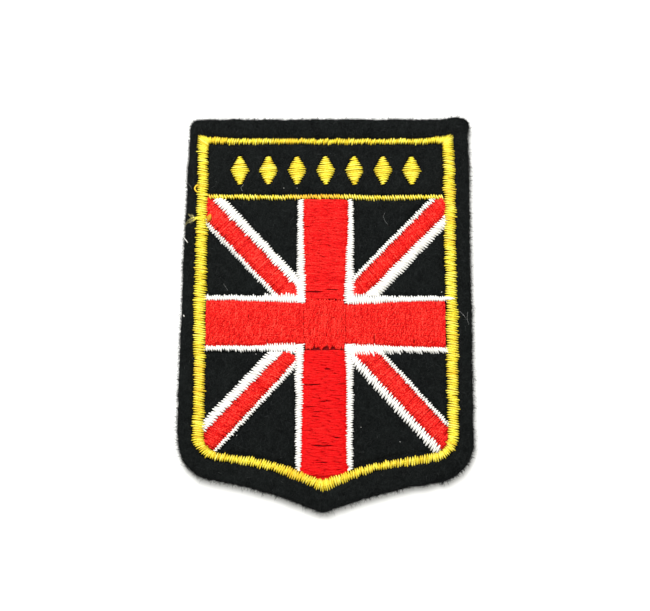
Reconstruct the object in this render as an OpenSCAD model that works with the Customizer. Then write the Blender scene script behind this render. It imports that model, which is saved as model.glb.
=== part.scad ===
// Embroidered shield patch: black felt with a crossed and diagonal band pattern in satin stitch.
// Millimetres. The origin is at the middle of the flat back, +Y up the patch, +Z out of its face.

/* [Felt] */
// Width of the felt at its widest
patch_w = 60.5; // [48:0.5:80]
// Height of the felt from its straight top to its point
patch_h = 83.2; // [68:0.2:110]
// Thickness of the felt where no stitch presses it
felt_t = 1.8; // [1.4:0.1:3]
// Thickness left under the stitches
pressed_t = 1.25; // [0.8:0.05:1.3]
// Radius of the felt's two top corners
top_corner_r = 1.9; // [1:0.1:4]
// Radius of the felt's two foot corners
foot_corner_r = 8; // [5:0.5:10]
// How far the foot rises from its point to its corners
foot_rise = 6.6; // [4:0.2:10]
// How much nearer the left edge was cut at the top than at the foot
cut_skew = 1.4; // [0:0.1:2]
// How far the point of the foot lies to the left of the middle
tip_shift = 0.6; // [0:0.1:1.5]

/* [Gold border] */
// Felt left outside the border at the sides
side_margin = 3.2; // [2.4:0.05:6]
// Felt left outside the border at the top
top_margin = 4.25; // [3:0.05:7]
// Felt left outside the border at its point
tip_margin = 4.55; // [3.5:0.05:7]
// Width of the border's side columns
side_w = 2.2; // [1.2:0.1:3]
// Width of the border's top line
top_w = 1.15; // [0.8:0.05:2.5]
// Width of the border's foot line at its corners
foot_w = 1.7; // [1:0.1:3]
// Height of the border's foot line at its point
foot_point_w = 2.3; // [1.5:0.1:4]
// Radius of the border's foot corners
border_foot_r = 5; // [3.5:0.5:7]

/* [Title panel] */
// Clear height of the panel between the border's top line and the rule
panel_h = 11.25; // [8:0.05:15]
// Width of the rule below the panel
rule_w = 1.0; // [0.8:0.05:2]
// Number of lozenges in the panel
motif_count = 7; // [3:1:9]
// Height of a lozenge
motif_h = 6.3; // [3:0.1:8]
// Clear space between one lozenge and the next
motif_gap = 2.0; // [0.6:0.1:2.5]
// Clear space at each end of the row of lozenges
motif_end = 4.7; // [2:0.1:6]
// How far the row of lozenges lies below the panel's middle
motif_drop = 0.4; // [0:0.05:0.8]

/* [Cross] */
// Width of the red bands of the cross
cross_w = 8.8; // [6:0.1:12]
// Width of the white edging of the cross
edging_w = 1.4; // [0.8:0.05:2]
// Height of the cross's middle below the middle of the patch
cross_drop = 2.8; // [0:0.1:6]
// How far the lower arm lies to the left of the upper one
lower_arm_shift = 0.35; // [0:0.05:1]

/* [Saltire] */
// Width of the red diagonal bands
saltire_w = 3.1; // [2:0.1:4]
// Width of the wide white edge of each diagonal band
wide_w = 2.0; // [1:0.1:3]
// Width of the narrow white edge of each diagonal band
narrow_w = 1.1; // [0.6:0.05:1.6]

/* [Stitches] */
// Height of a stitched column's edge above the pressed felt
stitch_edge_h = 0.3; // [0.2:0.05:0.5]
// Height of a narrow column's crown above the pressed felt
stitch_crown_h = 0.8; // [0.6:0.05:1.2]
// Height of a wide red band's crown above the pressed felt
band_crown_h = 0.9; // [0.6:0.05:1.2]
// Gap between one stitched column and the next
gap = 0.1; // [0.05:0.05:0.3]

/* [Hidden] */
half_w = patch_w / 2;
top_y = patch_h / 2;
tip_y = -patch_h / 2;

// How much less the border's foot rises than the felt's
border_flatter = 0.5;

// The border's outer and inner outlines, and the field inside it
border_half_w = half_w - side_margin;
border_top_y = top_y - top_margin;
border_tip_y = tip_y + tip_margin;
border_rise = foot_rise - border_flatter;
field_half_w = border_half_w - side_w;
panel_top_y = border_top_y - top_w;
panel_foot_y = panel_top_y - panel_h;
field_top_y = panel_foot_y - rule_w;
field_corner_y = border_tip_y + border_rise + foot_w;

// The row of lozenges
motif_row = 2 * (field_half_w - motif_end);
motif_w = (motif_row - (motif_count - 1) * motif_gap) / motif_count;
motif_pitch = motif_w + motif_gap;

// The cross
cross_half = cross_w / 2;
edged_half = cross_half + gap + edging_w;
bar_y = -cross_drop;

// The roundness of a stitched column's crown
crown_steps = 10;
satin_power = 2.2;
band_power = 4;

// An outline's curves
arc_steps = 8;
foot_steps = 9;
side_steps = 6;
felt_curl_share = 0.36;
border_curl_share = 0.75;
border_top_r = 0.5;
field_top_r = 0.3;

// The felt's rim, from the back round the cut edge to the foot of the border:
// share of the way from the cut edge to the border, share of the felt's thickness
RIM = [
    [0.09, 0.00],
    [0.02, 0.07],
    [0.00, 0.25],
    [0.00, 0.66],
    [0.03, 0.86],
    [0.10, 0.97],
    [0.22, 1.00],
    [0.66, 1.00],
    [0.84, 0.94],
    [0.95, 0.83]
];

// A puffed field of felt between stitches:
// share of the inset that the crown starts at, share of the rise above the pressed felt
PUFF = [
    [0.00, -0.30],
    [0.00, 0.30],
    [0.18, 0.66],
    [0.50, 0.88],
    [1.00, 1.00]
];
puff_inset = 1.1;
puff_clear = 0.15;

// A lozenge: share of its half height, share of its half width
MOTIF = [
    [-1.00, 0.12],
    [-0.92, 0.24],
    [-0.45, 0.64],
    [0.00, 1.00],
    [0.45, 0.64],
    [0.92, 0.24],
    [1.00, 0.12]
];

// The four diagonal arms: name, side, up or down, how far beyond the cross's corner the middle line
// meets the bar as a share of the red band's width, its x at the field's far edge as a share of the
// field's half width, and whether its wide white edge faces the upright of the cross
ARMS = [
    ["top_left", -1, 1, 0.47, 1.041, true],
    ["top_right", 1, 1, 0.04, 1.008, false],
    ["bottom_left", -1, -1, 0.26, 1.020, false],
    ["bottom_right", 1, -1, 0.86, 1.075, true]
];

// Small helpers on points and lines
function flip(points) = [for (i = [len(points) - 1:-1:0]) points[i]];
function mix(a, b, t) = a + (b - a) * t;
function unit(v) = v / norm(v);
function left_of(v) = [-v[1], v[0]];
function sum(v, i = 0) = i == len(v) - 1 ? v[i] : v[i] + sum(v, i + 1);
function mean(points) = sum(points) / len(points);

// Where the line through p along d meets the line through q along e
function meet(p, d, q, e) =
    let (k = d[0] * e[1] - d[1] * e[0], r = q - p)
    p + d * (r[0] * e[1] - r[1] * e[0]) / k;

// The points of an arc after its first one
function arc(middle, r, from, to) = [for (i = [1:arc_steps])
    let (a = mix(from, to, i / arc_steps)) middle + r * [cos(a), sin(a)]];

// Height above the point of a shield's foot, at a share of the way to its corner
function foot_lift(s, rise, curl) = rise * ((1 - curl) * s + curl * (1 - (1 - s) * (1 - s)));

// The right half of a shield, from the point of its foot round to its top
function shield_half(hw, top, tip, rise, curl, r_top, r_foot) =
    let (
        slope = atan((1 - curl) * rise / (hw - r_foot)),
        foot_hw = hw - r_foot * (1 - sin(slope)),
        arc_y = tip + rise + r_foot * cos(slope)
    )
    concat(
        [for (i = [0:foot_steps]) let (s = i / foot_steps) [foot_hw * s, tip + foot_lift(s, rise, curl)]],
        arc([hw - r_foot, arc_y], r_foot, slope - 90, 0),
        [for (i = [1:side_steps]) [hw, mix(arc_y, top - r_top, i / side_steps)]],
        arc([hw - r_top, top - r_top], r_top, 0, 90),
        [[hw / 2, top]]
    );

// The skew of the cut, which narrows the left side above the foot, more and more towards the top
function skewed(p, skew, top, foot) = [p[0] + skew * max(0, (p[1] - foot) / (top - foot)), p[1]];

// The point of the foot leans to the left, and the lean fades out towards the corners
function leaned(p, shift, hw, foot) = p[1] > foot ? p : [p[0] - shift * (1 - abs(p[0]) / hw), p[1]];

// A whole shield, counter-clockwise from the point of its foot
function shield(hw, top, tip, rise, curl, r_top, r_foot, skew = 0) =
    let (
        right = shield_half(hw, top, tip, rise, curl, r_top, r_foot),
        left = [for (i = [len(right) - 1:-1:1])
            skewed([-right[i][0], right[i][1]], skew, top, tip + 2 * rise)]
    )
    [for (p = concat(right, [[0, top]], left)) leaned(p, tip_shift, hw, tip + rise)];

felt_outline = shield(half_w, top_y, tip_y, foot_rise, felt_curl_share,
    top_corner_r, foot_corner_r, cut_skew);
border_outline = shield(border_half_w, border_top_y, border_tip_y, border_rise, border_curl_share,
    border_top_r, border_foot_r);
field_outline = shield(field_half_w, panel_top_y, border_tip_y + foot_point_w,
    border_rise - (foot_point_w - foot_w), border_curl_share,
    field_top_r, border_foot_r - (side_w + foot_w) / 2);

// The height of the field's foot at an x, along its own outline
function field_foot_y(x) =
    let (
        n = len(field_outline),
        crossed = [for (i = [0:n - 1])
            let (a = field_outline[i], b = field_outline[(i + 1) % n])
            if ((a[0] - x) * (b[0] - x) <= 0 && abs(b[0] - a[0]) > 1e-6)
                mix(a[1], b[1], (x - a[0]) / (b[0] - a[0]))]
    )
    min(crossed);

// Height of a satin column's crown: a narrow column stands lower than a wide one
function satin_h(width) = mix(stitch_edge_h, stitch_crown_h, min(1, sqrt(width / side_w)));

// One crowned section, from its left edge over the top to its right edge: [share of width, height]
function crown(crown_h, power) = [
    for (i = [0:crown_steps])
        let (t = -cos(180 * i / crown_steps))
        [t / 2, mix(stitch_edge_h, crown_h, pow(max(0, 1 - pow(abs(t), power)), 1 / power))]
];

// A solid through rings of points with equal counts, closed by a fan at each end
module ring_solid(rings) {
    n = len(rings[0]);
    m = len(rings);
    points = concat([for (r = rings) for (p = r) p], [mean(rings[0])], [mean(rings[m - 1])]);
    walls = [for (k = [0:m - 2]) for (i = [0:n - 1])
        let (a = k * n + i, b = k * n + (i + 1) % n)
        for (f = [[a, b + n, b], [a, a + n, b + n]]) f];
    back = [for (i = [0:n - 1]) [m * n, i, (i + 1) % n]];
    front = [for (i = [0:n - 1]) [m * n + 1, (m - 1) * n + (i + 1) % n, (m - 1) * n + i]];
    polyhedron(points = points, faces = concat(walls, back, front));
}

// A satin column on the pressed felt, between the rail on its right as it runs and the one on its left
module column(right, left, closed = false) {
    n = len(right);
    // Each station is the crowned section and then its two feet on the pressed felt
    stations = [for (i = [0:n - 1])
        let (
            a = right[i],
            b = left[i],
            section = crown(satin_h(norm(b - a)), satin_power),
            top = [for (s = section) let (p = mix(a, b, s[0] + 0.5)) [p[0], p[1], pressed_t + s[1]]]
        )
        concat(top, [[b[0], b[1], pressed_t], [a[0], a[1], pressed_t]])];
    k = len(stations[0]);
    spans = closed ? n : n - 1;
    skin = [for (i = [0:spans - 1]) for (j = [0:k - 1])
        let (
            a = i * k + j,
            b = i * k + (j + 1) % k,
            onward = i == n - 1 ? -i * k : k
        )
        for (f = [[a, b, b + onward], [a, b + onward, a + onward]]) f];
    start = [for (j = [1:k - 2]) [0, j + 1, j]];
    finish = [for (j = [1:k - 2]) [(n - 1) * k, (n - 1) * k + j, (n - 1) * k + j + 1]];
    polyhedron(
        points = [for (s = stations) for (p = s) p],
        faces = closed ? skin : concat(skin, start, finish)
    );
}

// A straight crowned band from one point to another
module band(from, to, width, crown_h, power) {
    along = to - from;
    section = crown(crown_h, power);
    translate([from[0], from[1], pressed_t])
        rotate([90, 0, atan2(along[1], along[0]) - 90])
            mirror([0, 0, 1])
                linear_extrude(norm(along))
                    polygon(concat(
                        [for (s = section) [s[0] * width, s[1]]],
                        [[width / 2, 0], [-width / 2, 0]]
                    ));
}

// A tall prism over a plan outline, to cut bands to
module plan_prism(points) {
    linear_extrude(felt_t * 3) polygon(points);
}

// The middle of the upright above and below the bar
function upright_x(up) = up > 0 ? 0 : -lower_arm_shift;

// The six rails of the three bands of an arm: distances of their edges from its middle line,
// those towards the upright first
function arm_rails(arm) =
    let (
        near_w = arm[5] ? wide_w : narrow_w,
        far_w = arm[5] ? narrow_w : wide_w,
        h = saltire_w / 2
    )
    [h + gap + near_w, h + gap, h, -h, -h - gap, -h - gap - far_w];
function arm_start(arm) = quarter_corner(arm) + [arm[1] * arm[3] * saltire_w, 0];
function arm_end(arm) = [arm[1] * arm[4] * field_half_w, arm[2] > 0 ? field_top_y : field_corner_y];
function arm_along(arm) = unit(arm_end(arm) - arm_start(arm));
// Across an arm, pointing to the upright of the cross
function arm_across(arm) = left_of(arm_along(arm)) * arm[1] * arm[2];

// One side of a lozenge, from its foot to its top, grown outwards by some clearance
function motif_rail(number, side, grow = 0) =
    let (
        x = (number - (motif_count + 1) / 2) * motif_pitch,
        y = (panel_top_y + panel_foot_y) / 2 - motif_drop
    )
    [for (row = MOTIF) [x + side * (row[1] * motif_w / 2 + grow), y + row[0] * (motif_h / 2 + grow)]];

// The corner of a quarter of the field, next to the cross's edging
function quarter_corner(arm) = [
    upright_x(arm[2]) + arm[1] * (edged_half + gap),
    bar_y + arm[2] * (edged_half + gap)
];

// The shares of the way across at which an outline follows the border's foot
FOOT_STOPS = [0, 0.15, 0.3, 0.45, 0.6, 0.7, 0.8, 0.88, 0.94, 0.98];
PUFF_STOPS = [0, 0.2, 0.4, 0.6, 0.8, 1];
ARM_STOPS = [-1, -0.75, -0.5, -0.25, 0, 0.25, 0.5, 0.75, 1];

// A quarter of the field, a gap clear of the cross's edging, the rule and the border
function quarter(arm) =
    let (
        c = quarter_corner(arm),
        side_x = arm[1] * (field_half_w - gap),
        far = arm[2] > 0 ?
            [[c[0], field_top_y - gap], [side_x, field_top_y - gap]] :
            [for (s = FOOT_STOPS) let (x = mix(c[0], side_x, s)) [x, field_foot_y(x) + 2 * gap]]
    )
    concat([c], far, [[side_x, c[1]]]);

// One stitched band of a diagonal arm, between two of its rails
module arm_band(arm, inner, outer, crown_h, power) {
    middle = (inner + outer) / 2;
    across = arm_across(arm) * middle;
    reach = arm_along(arm) * 4 * saltire_w;
    intersection() {
        band(arm_start(arm) + across - reach, arm_end(arm) + across + reach, inner - outer, crown_h, power);
        plan_prism(quarter(arm));
    }
}

// A counter-clockwise outline with every edge moved inwards
function inset(points, d) =
    let (n = len(points))
    [for (i = [0:n - 1])
        let (
            before = left_of(unit(points[i] - points[(i + n - 1) % n])),
            after = left_of(unit(points[(i + 1) % n] - points[i]))
        )
        points[i] + (before + after) * d / (1 + before * after)];
function signed_area(points) =
    let (n = len(points))
    sum([for (i = [0:n - 1]) let (a = points[i], b = points[(i + 1) % n]) a[0] * b[1] - a[1] * b[0]]) / 2;

// Felt that rises between stitches, over an outline
module puff(outline) {
    plan = inset(signed_area(outline) > 0 ? outline : flip(outline), puff_clear);
    ring_solid([for (row = PUFF)
        [for (p = inset(plan, row[0] * puff_inset)) [p[0], p[1], mix(pressed_t, felt_t, row[1])]]]);
}

// The x where a line meets the foot of the field, closed in on by a few steps
function foot_x(p, d, x, steps = 4) =
    steps == 0 ? x : foot_x(p, d, meet(p, d, [0, field_foot_y(x) + 2 * gap], [1, 0])[0], steps - 1);

// The two puffed triangles of felt beside a diagonal arm
module quarter_puffs(arm) {
    rails = arm_rails(arm);
    c = quarter_corner(arm);
    d = arm_along(arm);
    to_upright = arm_start(arm) + arm_across(arm) * (rails[0] + gap);
    to_bar = arm_start(arm) + arm_across(arm) * (rails[5] - gap);
    side_x = arm[1] * (field_half_w - gap);
    // Beside the upright
    apex = meet(to_upright, d, c, [0, 1]);
    if (arm[2] > 0) {
        far = meet(to_upright, d, [0, field_top_y - gap], [1, 0]);
        puff([apex, [c[0], field_top_y - gap], far]);
    } else {
        far_x = foot_x(to_upright, d, arm[1] * field_half_w);
        puff(concat([apex], [for (s = PUFF_STOPS)
            let (x = mix(c[0], far_x, s))
            [x, field_foot_y(x) + 2 * gap]]));
    }
    // Beside the bar
    puff([meet(to_bar, d, c, [1, 0]), [side_x, c[1]], meet(to_bar, d, [side_x, 0], [0, 1])]);
}

// The felt: a flat-backed shield with a full rim, pressed inside the border and puffed between stitches
module felt_ground() {
    edge = border_outline;
    rim = [for (row = RIM)
        [for (i = [0:len(edge) - 1])
            let (p = mix(felt_outline[i], edge[i], row[0]))
            [p[0], p[1], row[1] * felt_t]]];
    floor_ring = [for (i = [0:len(edge) - 1])
        let (p = mix(felt_outline[i], edge[i], 1 - gap / side_margin))
        [p[0], p[1], pressed_t]];
    color("#16191a") {
        ring_solid(concat(rim, [floor_ring]));
        panel_puff();
        for (arm = ARMS) quarter_puffs(arm);
    }
}

// The puffed felt of the title panel, pressed down where a lozenge is stitched
module panel_puff() {
    difference() {
        puff([
            [-field_half_w, panel_foot_y], [field_half_w, panel_foot_y],
            [field_half_w, panel_top_y], [-field_half_w, panel_top_y]
        ]);
        for (m = [1:motif_count])
            translate([0, 0, pressed_t])
                linear_extrude(felt_t)
                    polygon(concat(motif_rail(m, 1, puff_clear), flip(motif_rail(m, -1, puff_clear))));
    }
}

// The golden border, one closed satin column
module border() {
    color("#f7d92b") column(border_outline, field_outline, closed = true);
}

// The rule that closes the title panel
module title_rule() {
    y = panel_foot_y - rule_w / 2;
    reach = field_half_w - gap;
    color("#f7d92b") band([-reach, y], [reach, y], rule_w, satin_h(rule_w), satin_power);
}

// One satin lozenge of the title panel
module motif(number) {
    color("#f7d92b") column(motif_rail(number, 1), motif_rail(number, -1));
}

// The red horizontal bar, through the middle of the cross
module cross_bar() {
    reach = field_half_w - gap;
    color("#e8202a") band([-reach, bar_y], [reach, bar_y], cross_w, band_crown_h, band_power);
}

// The red upright arms
module cross_arm_top() {
    color("#e8202a")
        band([0, bar_y + cross_half + gap], [0, field_top_y - gap], cross_w, band_crown_h, band_power);
}
module cross_arm_bottom() {
    x = upright_x(-1);
    color("#e8202a") intersection() {
        band([x, border_tip_y], [x, bar_y - cross_half - gap], cross_w, band_crown_h, band_power);
        plan_prism(concat(
            [[x - cross_half, bar_y]],
            [for (s = ARM_STOPS) let (px = x + s * cross_half) [px, field_foot_y(px) + 2 * gap]],
            [[x + cross_half, bar_y]]
        ));
    }
}

// The white edging of the cross in one quarter: an upright run and a level one that meet at a corner
module edging(arm) {
    offset_mid = cross_half + gap + edging_w / 2;
    x = upright_x(arm[2]) + arm[1] * offset_mid;
    y = bar_y + arm[2] * offset_mid;
    outer_x = x + arm[1] * edging_w / 2;
    far_y = arm[2] > 0 ? field_top_y - gap : field_foot_y(outer_x) + 2 * gap;
    side_x = arm[1] * (field_half_w - gap);
    color("#f4f2ea") union() {
        band([x, y - arm[2] * edging_w / 2], [x, far_y], edging_w, satin_h(edging_w), satin_power);
        band([x - arm[1] * edging_w / 2, y], [side_x, y], edging_w, satin_h(edging_w), satin_power);
    }
}

// The three stitched bands of a diagonal arm
module saltire_red(arm) {
    rails = arm_rails(arm);
    color("#e8202a") arm_band(arm, rails[2], rails[3], band_crown_h, satin_power);
}
module saltire_wide(arm) {
    rails = arm_rails(arm);
    k = arm[5] ? 0 : 4;
    color("#f4f2ea") arm_band(arm, rails[k], rails[k + 1], satin_h(wide_w), satin_power);
}
module saltire_narrow(arm) {
    rails = arm_rails(arm);
    k = arm[5] ? 4 : 0;
    color("#f4f2ea") arm_band(arm, rails[k], rails[k + 1], satin_h(narrow_w), satin_power);
}

felt_ground();
border();
title_rule();
for (m = [1:motif_count]) motif(m);
cross_bar();
cross_arm_top();
cross_arm_bottom();
for (arm = ARMS) edging(arm);
for (arm = ARMS) saltire_red(arm);
for (arm = ARMS) saltire_wide(arm);
for (arm = ARMS) saltire_narrow(arm);
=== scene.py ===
import math

import bpy
import numpy as np
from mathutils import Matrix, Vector, noise
from mathutils.bvhtree import BVHTree
from mathutils.kdtree import KDTree


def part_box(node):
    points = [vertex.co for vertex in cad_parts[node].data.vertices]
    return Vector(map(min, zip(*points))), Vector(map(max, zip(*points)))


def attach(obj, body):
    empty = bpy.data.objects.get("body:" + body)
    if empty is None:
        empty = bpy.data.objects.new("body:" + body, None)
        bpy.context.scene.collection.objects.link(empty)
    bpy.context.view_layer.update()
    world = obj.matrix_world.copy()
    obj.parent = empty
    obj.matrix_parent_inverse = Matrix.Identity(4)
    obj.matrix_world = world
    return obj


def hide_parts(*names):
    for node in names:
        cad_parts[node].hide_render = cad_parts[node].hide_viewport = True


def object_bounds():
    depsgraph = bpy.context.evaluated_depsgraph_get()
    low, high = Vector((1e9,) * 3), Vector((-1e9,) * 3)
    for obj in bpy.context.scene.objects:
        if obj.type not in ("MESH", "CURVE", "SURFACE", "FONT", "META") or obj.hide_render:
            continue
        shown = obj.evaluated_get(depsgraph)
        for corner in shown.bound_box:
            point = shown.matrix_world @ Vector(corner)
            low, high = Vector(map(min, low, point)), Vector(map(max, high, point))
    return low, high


# An embroidered shield patch, stitch by stitch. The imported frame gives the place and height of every
# stitched column, and here each column is laid as single threads. Places and sizes are in millimetres.

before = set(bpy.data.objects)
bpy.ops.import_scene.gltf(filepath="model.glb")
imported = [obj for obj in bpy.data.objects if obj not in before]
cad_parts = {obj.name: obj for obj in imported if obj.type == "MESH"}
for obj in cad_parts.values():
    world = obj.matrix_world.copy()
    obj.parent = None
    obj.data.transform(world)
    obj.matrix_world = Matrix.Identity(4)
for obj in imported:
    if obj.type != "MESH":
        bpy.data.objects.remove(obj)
cad_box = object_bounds()
MM = 0.001
BODY = "root"

# The thread, as a tube of a few sides, and the step at which lines are followed
THREAD_W, THREAD_H = 0.34, 0.28
SIDES = 6
FINE_STEP = 0.05

# The map for baking gives each thread a cell of its own: how much taller than wide cells are, what stays
# free at a cell's sides and ends, how many cells a layer takes, and a layer's tone and warmth, which paint it
# darker and warmer than its threads, as painted shade
CELL_SHAPE = 2.5
CELL_EDGE = (0.06, 0.04)
LAYER_CELLS = 4
LAYER_MARKS = (0.25, 0.35)

# How each kind of satin is stitched: tooth is the distance from tooth to tooth, width the thread's,
# flatness its height beside the plain thread's, jitter how far holes stray, as a share of a tooth, tone how
# unlike its threads are, sheen a painted highlight: how much brighter the passes that go one way are
# painted, as if they caught the light. bed is how far down the layer under it lies and how much painted
# shade its colour takes
GOLD = dict(tooth=0.5, width=0.29, jitter=0.08, tone=0.17, painted_sheen=0.17, bed=(0.28, 1.25))
RULE = dict(tooth=0.54, width=0.27, jitter=0.07, tone=0.2, painted_sheen=0.36, bed=(0.26, 1.0))
SALTIRE_RED = dict(
    tooth=0.45, width=0.34, flatness=0.85, jitter=0.05, tone=0.12, painted_sheen=0.05, bed=(0.16, 0.6))
WHITE = dict(tooth=0.5, width=0.31, jitter=0.06, tone=0.14, painted_sheen=0.08, bed=(0.16, 0.2))
WHITE_WIDE = dict(tooth=0.6, width=0.34, jitter=0.05, tone=0.14, painted_sheen=0.08, bed=(0.15, 0.25))
WHITE_COMBED = dict(tooth=0.66, width=0.33, jitter=0.06, tone=0.14, painted_sheen=0.14, bed=(0.22, 0.9))
WHITE_NARROW = dict(tooth=0.56, width=0.27, jitter=0.06, tone=0.14, painted_sheen=0.16, bed=(0.2, 1.1))

# How deep a thread's end goes below the surface that it enters, and how low it may lie over the pressed felt
SINK = 0.42
CLEAR = 0.06

# How much a tucked end is lowered, over what length, and how much what lies under another column
TUCK, TUCK_RAMP = 0.2, 0.2
HELD_DOWN = 1.5 * TUCK

# The shortest pass, how far a stitch in a row passes its hole, and the size of the patches of tone
SHORTEST_PASS = 0.15
PAST_HOLE = 0.07
TONE_PATCH = 3.0

# How unlike stitches are in bow, height and girth: a satin's and a row's
SATIN_STRAYS = (0.025, 0.018, 0.06)
ROW_STRAYS = (0.02, 0.02, 0.06)

# How far stitching pulls its lines off their places, and over what size
PULL = dict(border=(0.12, 4), rule=(0.1, 5), edging=(0.08, 4), saltire=(0.1, 4), rows=(0.1, 5))

# Which thread lies on top where two colours meet: how far each is lifted
RED_LIFT, BAR_LIFT, WHITE_LIFT, GOLD_LIFT = -0.05, 0.02, 0.04, 0.08

# The crown of the filled bands: height at the edge, height at the middle, and how square it is
EDGE_RISE, FILL_RISE, FILL_SQUARE = 0.44, 0.9, 5

# The rows of the cross: pitch, their threads' width and flatness, and how far they pass beneath the edging
ROW_PITCH, ROW_WIDTH, ROW_FLAT, UNDER_EDGING = 0.24, 0.34, 0.8, 0.55
ARM_STITCH, ARM_LEAN = 3.2, 0.05
BAR_STITCH, BAR_LEAN = 1.15, 0.12
BAR_MIDDLE_STITCH, BAR_MIDDLE_LEAN = 2.0, 0.1

# At what shares of a stitch the rows begin in turn, and how much painted shade the layer under the arms takes
BAR_STARTS = (0.3 * np.arange(10)) % 1
ARM_STARTS = (0, 0.55, 0.22, 0.78, 0.4)
SHADED_BED = 1.25

# Between the arms the bar's stitches reach over the arms' ends
BAR_MIDDLE_LOW, BAR_MIDDLE_HIGH = -8.3, 2.35

# Where the white edging meets the bar, above and below: x, y
BAR_TOP_EDGE = [
    (-24.8, 2.1), (-18, 2), (-14, 1.8), (-10, 1.6), (-7, 1.5), (-4.3, 1.35), (4, 1.1), (7, 1.2), (10, 1.35),
    (14, 1.6), (18, 1.77), (24.7, 1.8),
]
BAR_FOOT_EDGE = [
    (-24.6, -7.3), (-18, -7.2), (-14, -7.25), (-10, -6.88), (-7.3, -6.8), (-4.3, -7), (4, -7),
    (10.1, -7.05), (14, -7.42), (18, -7.57), (24.5, -7.75),
]

# Where the white edging meets the arms: y, x
ARM_EDGES = {
    "top_left": [(1.5, -4.05), (5, -4.1), (9, -4.23), (13, -4.34), (17, -4.48), (24, -4.5)],
    "top_right": [(1.5, 3.75), (5, 3.83), (9, 4.08), (13, 4.24), (17, 4.5), (24, 4.6)],
    "bottom_left": [(-34, -4.8), (-26, -4.77), (-18, -4.6), (-14, -4.63), (-10, -4.4), (-7.4, -4.3)],
    "bottom_right": [(-34, 4.07), (-26, 4.08), (-18, 4.2), (-14, 4.12), (-10, 3.87), (-7.4, 3.8)],
}

# The white edging's outer edge along the arms: y, x. Then along the bar: x, y
UPRIGHT_OUTER = {
    "top_left": [(2, -6.1), (9, -6.05), (14, -5.9), (24, -5.76)],
    "top_right": [(2, 6), (5, 5.98), (9, 5.78), (17, 5.83), (24, 5.66)],
    "bottom_left": [(-34, -6.12), (-18, -6.12), (-14, -6.28), (-8, -6.38)],
    "bottom_right": [(-34, 5.42), (-22, 5.58), (-14, 5.67), (-8, 5.85)],
}
LEVEL_OUTER = {
    "top_left": [(-24.8, 3.22), (-18, 3.33), (-14, 3.25), (-7, 3.52), (-4, 3.5)],
    "top_right": [(4, 3.45), (7, 3.4), (14, 3.03), (24.8, 2.95)],
    "bottom_left": [(-24.8, -8.33), (-18, -8.41), (-14, -8.54), (-7, -8.85), (-4, -8.85)],
    "bottom_right": [(4, -9.2), (10, -9.16), (14, -8.98), (24.8, -8.9)],
}
LEVEL_LEAN = {"top_left": 0.15, "top_right": 0.1, "bottom_left": 0.3, "bottom_right": 0.8}

# How unlike the level runs' teeth are beside black, and how far the layer beneath keeps off there
LEVEL_FRAY = {
    "top_left": (0.14, 0.55), "top_right": (0.1, 0.45), "bottom_left": (0.13, 0.5),
    "bottom_right": (0.19, 0.75),
}

# How far the stitching pulls the four lines of a diagonal arm to the right, seen up the patch, from the
# left one to the right one: at the outer end, near the middle
SALTIRE_PULL = {
    "top_left": [(-0.62, -0.05), (-0.65, 0.1), (-0.3, 0.45), (-0.05, 0.5)],
    "top_right": [(0.42, -0.42), (0.47, -0.4), (0.5, -0.5), (0.6, 0.15)],
    "bottom_left": [(-0.42, 0.05), (-0.35, 0.5), (-0.12, 0), (-0.3, 0.18)],
    "bottom_right": [(-0.1, -0.22), (-0.05, -0.25), (0.05, 0), (0.1, -0.15)],
}

# How far the edging's teeth bite beside red and beside black, how far its runs are drawn on at the corner,
# and how far what ends at the border or at the edging passes under it
EDGING_BITE = (0.04, 0.16)
CORNER_MORE = 0.22
BORDER_LAP, EDGING_LAP = 0.9, 0.25

# How far past the border's and the rule's edge things lie under them, half the rule's width, the part of a
# diagonal column that shows its straight line, by its share of the way out, and how far the red one goes
# under the white ones
UNDER_FROM = 0.1
RULE_HALF = 0.45
STRAIGHT_PART = (0.25, 0.6)
RED_SPREAD = (0.7, 0.7)

# The lozenges in the panel: how far they are lifted, and how they are shaded
MOTIF_LIFT, MOTIF_DULLED = 0.02, -0.14

# The white columns' teeth beside black and beside red: how far they bite, how unlike they are, and how far
# the layer beneath keeps off
NARROW_SIDES = (0.13, -0.04), (0.08, 0.1), (0.42, 0.42)
WIDE_SIDES = {
    "top_left": ((0.12, 0.08), (0.07, 0.19), (0.25, 0.95)),
    "top_right": ((0.12, -0.02), (0.08, 0.07), (0.25, 0.45)),
    "bottom_left": ((0.14, 0), (0.08, 0.1), (0.6, 0.6)),
    "bottom_right": ((0.14, 0.02), (0.1, 0.12), (0.6, 0.7)),
}

# How far the diagonal columns' stitches lean from square, as the shift along the column from side to side
SALTIRE_LEAN = {
    "saltire_wide_top_right": 0.85, "saltire_red_top_right": -0.95, "saltire_wide_bottom_left": 0.87,
    "saltire_red_bottom_left": 1, "saltire_narrow_bottom_left": 0.2, "saltire_wide_bottom_right": 0.58,
    "saltire_narrow_top_left": 0.2,
}

# The border: how far a corner's fan spreads, how the top corners flare (side, rise), and over what size
FAN = 3.4
FLARES = [(-1, 0.45), (1, 0.62)]
FLARE_W, FLARE_H = 6.5, 4.0

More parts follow.
